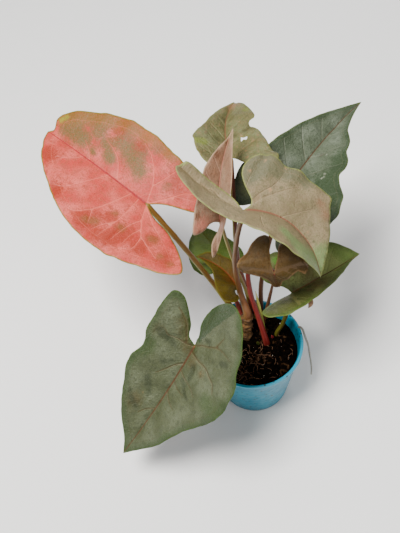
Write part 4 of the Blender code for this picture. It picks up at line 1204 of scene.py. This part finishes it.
def add_crumbs():
    """Crumbs, bark bits and pale grains lying on the soil."""
    rng = random.Random(11)
    corners, sheet = grain_form()
    # partly painted shade: the soil crumbs share the soil's darkened colours
    kinds = (("soil_crumbs", 900, (0.35, 1.1), (1, 1, 0.8), (0.001, 0.0006, 0.0003),
              (0.008, 0.004, 0.002)),
             ("bark_bits", 60, (0.6, 1.7), (1.5, 0.7, 0.4), (0.02, 0.009, 0.004),
              (0.07, 0.035, 0.015)),
             ("pale_grains", 14, (0.25, 0.5), (1, 1, 0.9), (0.45, 0.42, 0.36),
              (0.65, 0.62, 0.55)))
    for name, count, sizes, shape, dark, light in kinds:
        points, faces = [], []
        while count:
            x, y = scattered(rng, CRUMB_REACH)
            if in_the_way(x, y):
                continue
            count -= 1
            size = rng.uniform(*sizes)
            turn = Matrix.Rotation(TAU * rng.random(), 3, "Z") @ Matrix.Rotation(
                rng.uniform(-0.6, 0.6), 3, "X")
            centre = Vector((x, y, soil_height(x, y) + 0.25 * size))
            first = len(points)
            for corner in corners:
                uneven = size * rng.uniform(0.7, 1.2)
                points.append(centre + turn @ Vector([uneven * a * b
                                                      for a, b in zip(corner, shape)]))
            faces += [tuple(first + i for i in face) for face in sheet]
        thing = add_mesh(name, points, faces, [soil_material(name, dark, light)], smooth=False)
        ride(thing, "soil")


def fibre_material():
    """Dull brown, paler in places."""
    shade = Shader("fibre", 0.8, tone=(0.05, 0.022, 0.01))
    skin = shade.attribute("skin", "Vector")
    shade.over(shade.noise(skin, 0.5, 4.0), 0.35, 0.65, (0.26, 0.12, 0.055))
    shade.bump(shade.noise(skin, 3.0), 0.6, 0.1)
    return shade.made


def add_fibres():
    """Fine root and coir fibres lying on the soil."""
    rng = random.Random(5)
    points, faces, skins = [], [], []
    count = FIBRE_COUNT
    while count:
        x, y = scattered(rng, FIBRE_REACH)
        if count % 3:
            tangle = FIBRE_TANGLES[count % len(FIBRE_TANGLES)]
            x, y = rng.gauss(tangle[0], tangle[2]), rng.gauss(tangle[1], tangle[2])
        if in_the_way(x, y):
            continue
        count -= 1
        bearing, length = TAU * rng.random(), rng.uniform(2.5, 9.0)
        turn = rng.uniform(-0.35, 0.35)
        spots = []
        for step in range(6):
            inner = min(1.0, FIBRE_REACH / max(math.hypot(x, y), 0.1))
            x, y = x * inner, y * inner
            rise = 0.5 + 0.5 * math.sin(1.3 * step + bearing)
            spots.append((x, y, soil_height(x, y) + rise))
            x += length / 5 * math.cos(bearing)
            y += length / 5 * math.sin(bearing)
            bearing += turn + rng.uniform(-0.25, 0.25)
        path = curve(spots, 0.8)
        some, sides, skin, *_ = sweep(path, [rng.uniform(0.07, 0.17)] * len(path), 5)
        faces += [tuple(len(points) + i for i in face) for face in sides]
        points += some.tolist()
        skins += skin.tolist()
    add_tube("soil_fibres", (points, faces, skins), fibre_material(), "soil")


def dry_material(name, roughness, scale, detail, dark, light):
    """Something dead and dry in two mingled colours."""
    shade = Shader(name, roughness, 0.2)
    tone = shade.noise(shade.attribute("skin", "Vector"), scale, detail)
    shade.colour(shade.mix(tone, dark, light))
    return shade.made


def add_strand():
    """The grey root that hangs out over the rim."""
    path = curve(STRAND, 1.0)
    radii = STRAND_R * np.linspace(1, 0.65, len(path))
    made = dry_material("strand", 0.85, 0.8, 3.0, (0.1, 0.09, 0.07), (0.36, 0.35, 0.31))
    add_tube("rim_strand", sweep(path, radii, 8, ripple(31, 0.3)), made, "soil")


def add_scale():
    """The dry scale on the right-hand leaf."""
    start = blade_point(BLADES["low_right"], [SCALE_PLACE])[0]
    path = curve([start + step for step in SCALE_STEPS], 0.6)
    radii = 0.25 + 1.1 * np.sin(np.linspace(0, math.pi, len(path))) ** 1.5
    made = dry_material("dry_scale", 0.8, 1.2, 4.0, (0.06, 0.025, 0.008), (0.4, 0.24, 0.14))
    add_tube("dry_scale", sweep(path, radii, 10, ripple(37, 0.6)), made, "leaf_low_right")


# Camera, floor and lights

FLOOR_SIZE = 3000
CAMERA = (-23.3, -217.2, 437.7)
CAMERA_TILT = 35.0
CAMERA_ROLL = -7.8
FOCAL_PX = 800.0
IMAGE_HEIGHT = 533
# Each light's name, place and size in metres, watts and colour, and the place they all face
LIGHTS = (("key", (-0.25, -0.1, 0.85), 0.32, 15.0, (1.0, 0.98, 0.95)),
          ("fill", (0.5, -0.7, 0.6), 0.6, 2.2, (1, 1, 1)),
          ("back", (0.2, 0.7, 0.6), 0.5, 2.5, (1, 1, 1)))
LIT_PLACE = (0, 0, 0.09)
SKY = (0.95, 0.97, 1.0, 1)
SKY_STRENGTH = 0.33


def add_camera():
    """Look at the plant from the photo's side and above it."""
    tilt, roll = math.radians(CAMERA_TILT), math.radians(CAMERA_ROLL)
    back = Vector((0, -math.sin(tilt), math.cos(tilt)))
    level = Vector((1, 0, 0))
    upright = Vector((0, math.cos(tilt), math.sin(tilt)))
    right = math.cos(roll) * level + math.sin(roll) * upright
    up = -math.sin(roll) * level + math.cos(roll) * upright
    data = bpy.data.cameras.new("camera")
    data.sensor_width = 36.0
    data.lens = FOCAL_PX / IMAGE_HEIGHT * data.sensor_width
    data.clip_start = 0.01
    camera = bpy.data.objects.new("camera", data)
    turn = Matrix((right, up, back)).transposed().to_4x4()
    camera.matrix_world = Matrix.Translation(Vector(CAMERA) * MM) @ turn
    bpy.context.collection.objects.link(camera)
    bpy.context.scene.camera = camera


def add_light(name, place, size, watts, colour):
    """A soft square light that faces the plant."""
    data = bpy.data.lights.new(name, "AREA")
    data.size = size
    data.energy = watts
    data.color = colour
    lamp = bpy.data.objects.new(name, data)
    lamp.location = place
    facing = Vector(LIT_PLACE) - Vector(place)
    lamp.rotation_euler = facing.to_track_quat("-Z", "Y").to_euler()
    bpy.context.collection.objects.link(lamp)


def add_stage():
    """A pale floor, a pale sky and three soft lights."""
    shade = Shader("floor", 0.9)
    tone = shade.noise(shade.place(), 3.0)
    shade.colour(shade.mix(tone, (0.88, 0.88, 0.87), (0.92, 0.92, 0.91)))
    corners = [(FLOOR_SIZE * x, FLOOR_SIZE * y, 0) for x, y in ((-1, -1), (1, -1), (1, 1), (-1, 1))]
    floor = add_mesh("floor", corners, [(0, 1, 2, 3)], [shade.made], smooth=False)
    world = bpy.data.worlds.new("studio")
    world.use_nodes = True
    sky = world.node_tree.nodes["Background"]
    sky.inputs["Color"].default_value = SKY
    sky.inputs["Strength"].default_value = SKY_STRENGTH
    bpy.context.scene.world = world
    for light in LIGHTS:
        add_light(*light)


def main():
    """Make every piece and the stage."""
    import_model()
    for name, leaf in BLADES.items():
        add_blade(name, leaf, LOOKS[name])
    add_petioles()
    add_shoots()
    add_stem()
    add_pot()
    add_soil()
    add_crumbs()
    add_fibres()
    add_strand()
    add_scale()
    add_camera()
    add_stage()
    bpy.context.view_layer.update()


main()
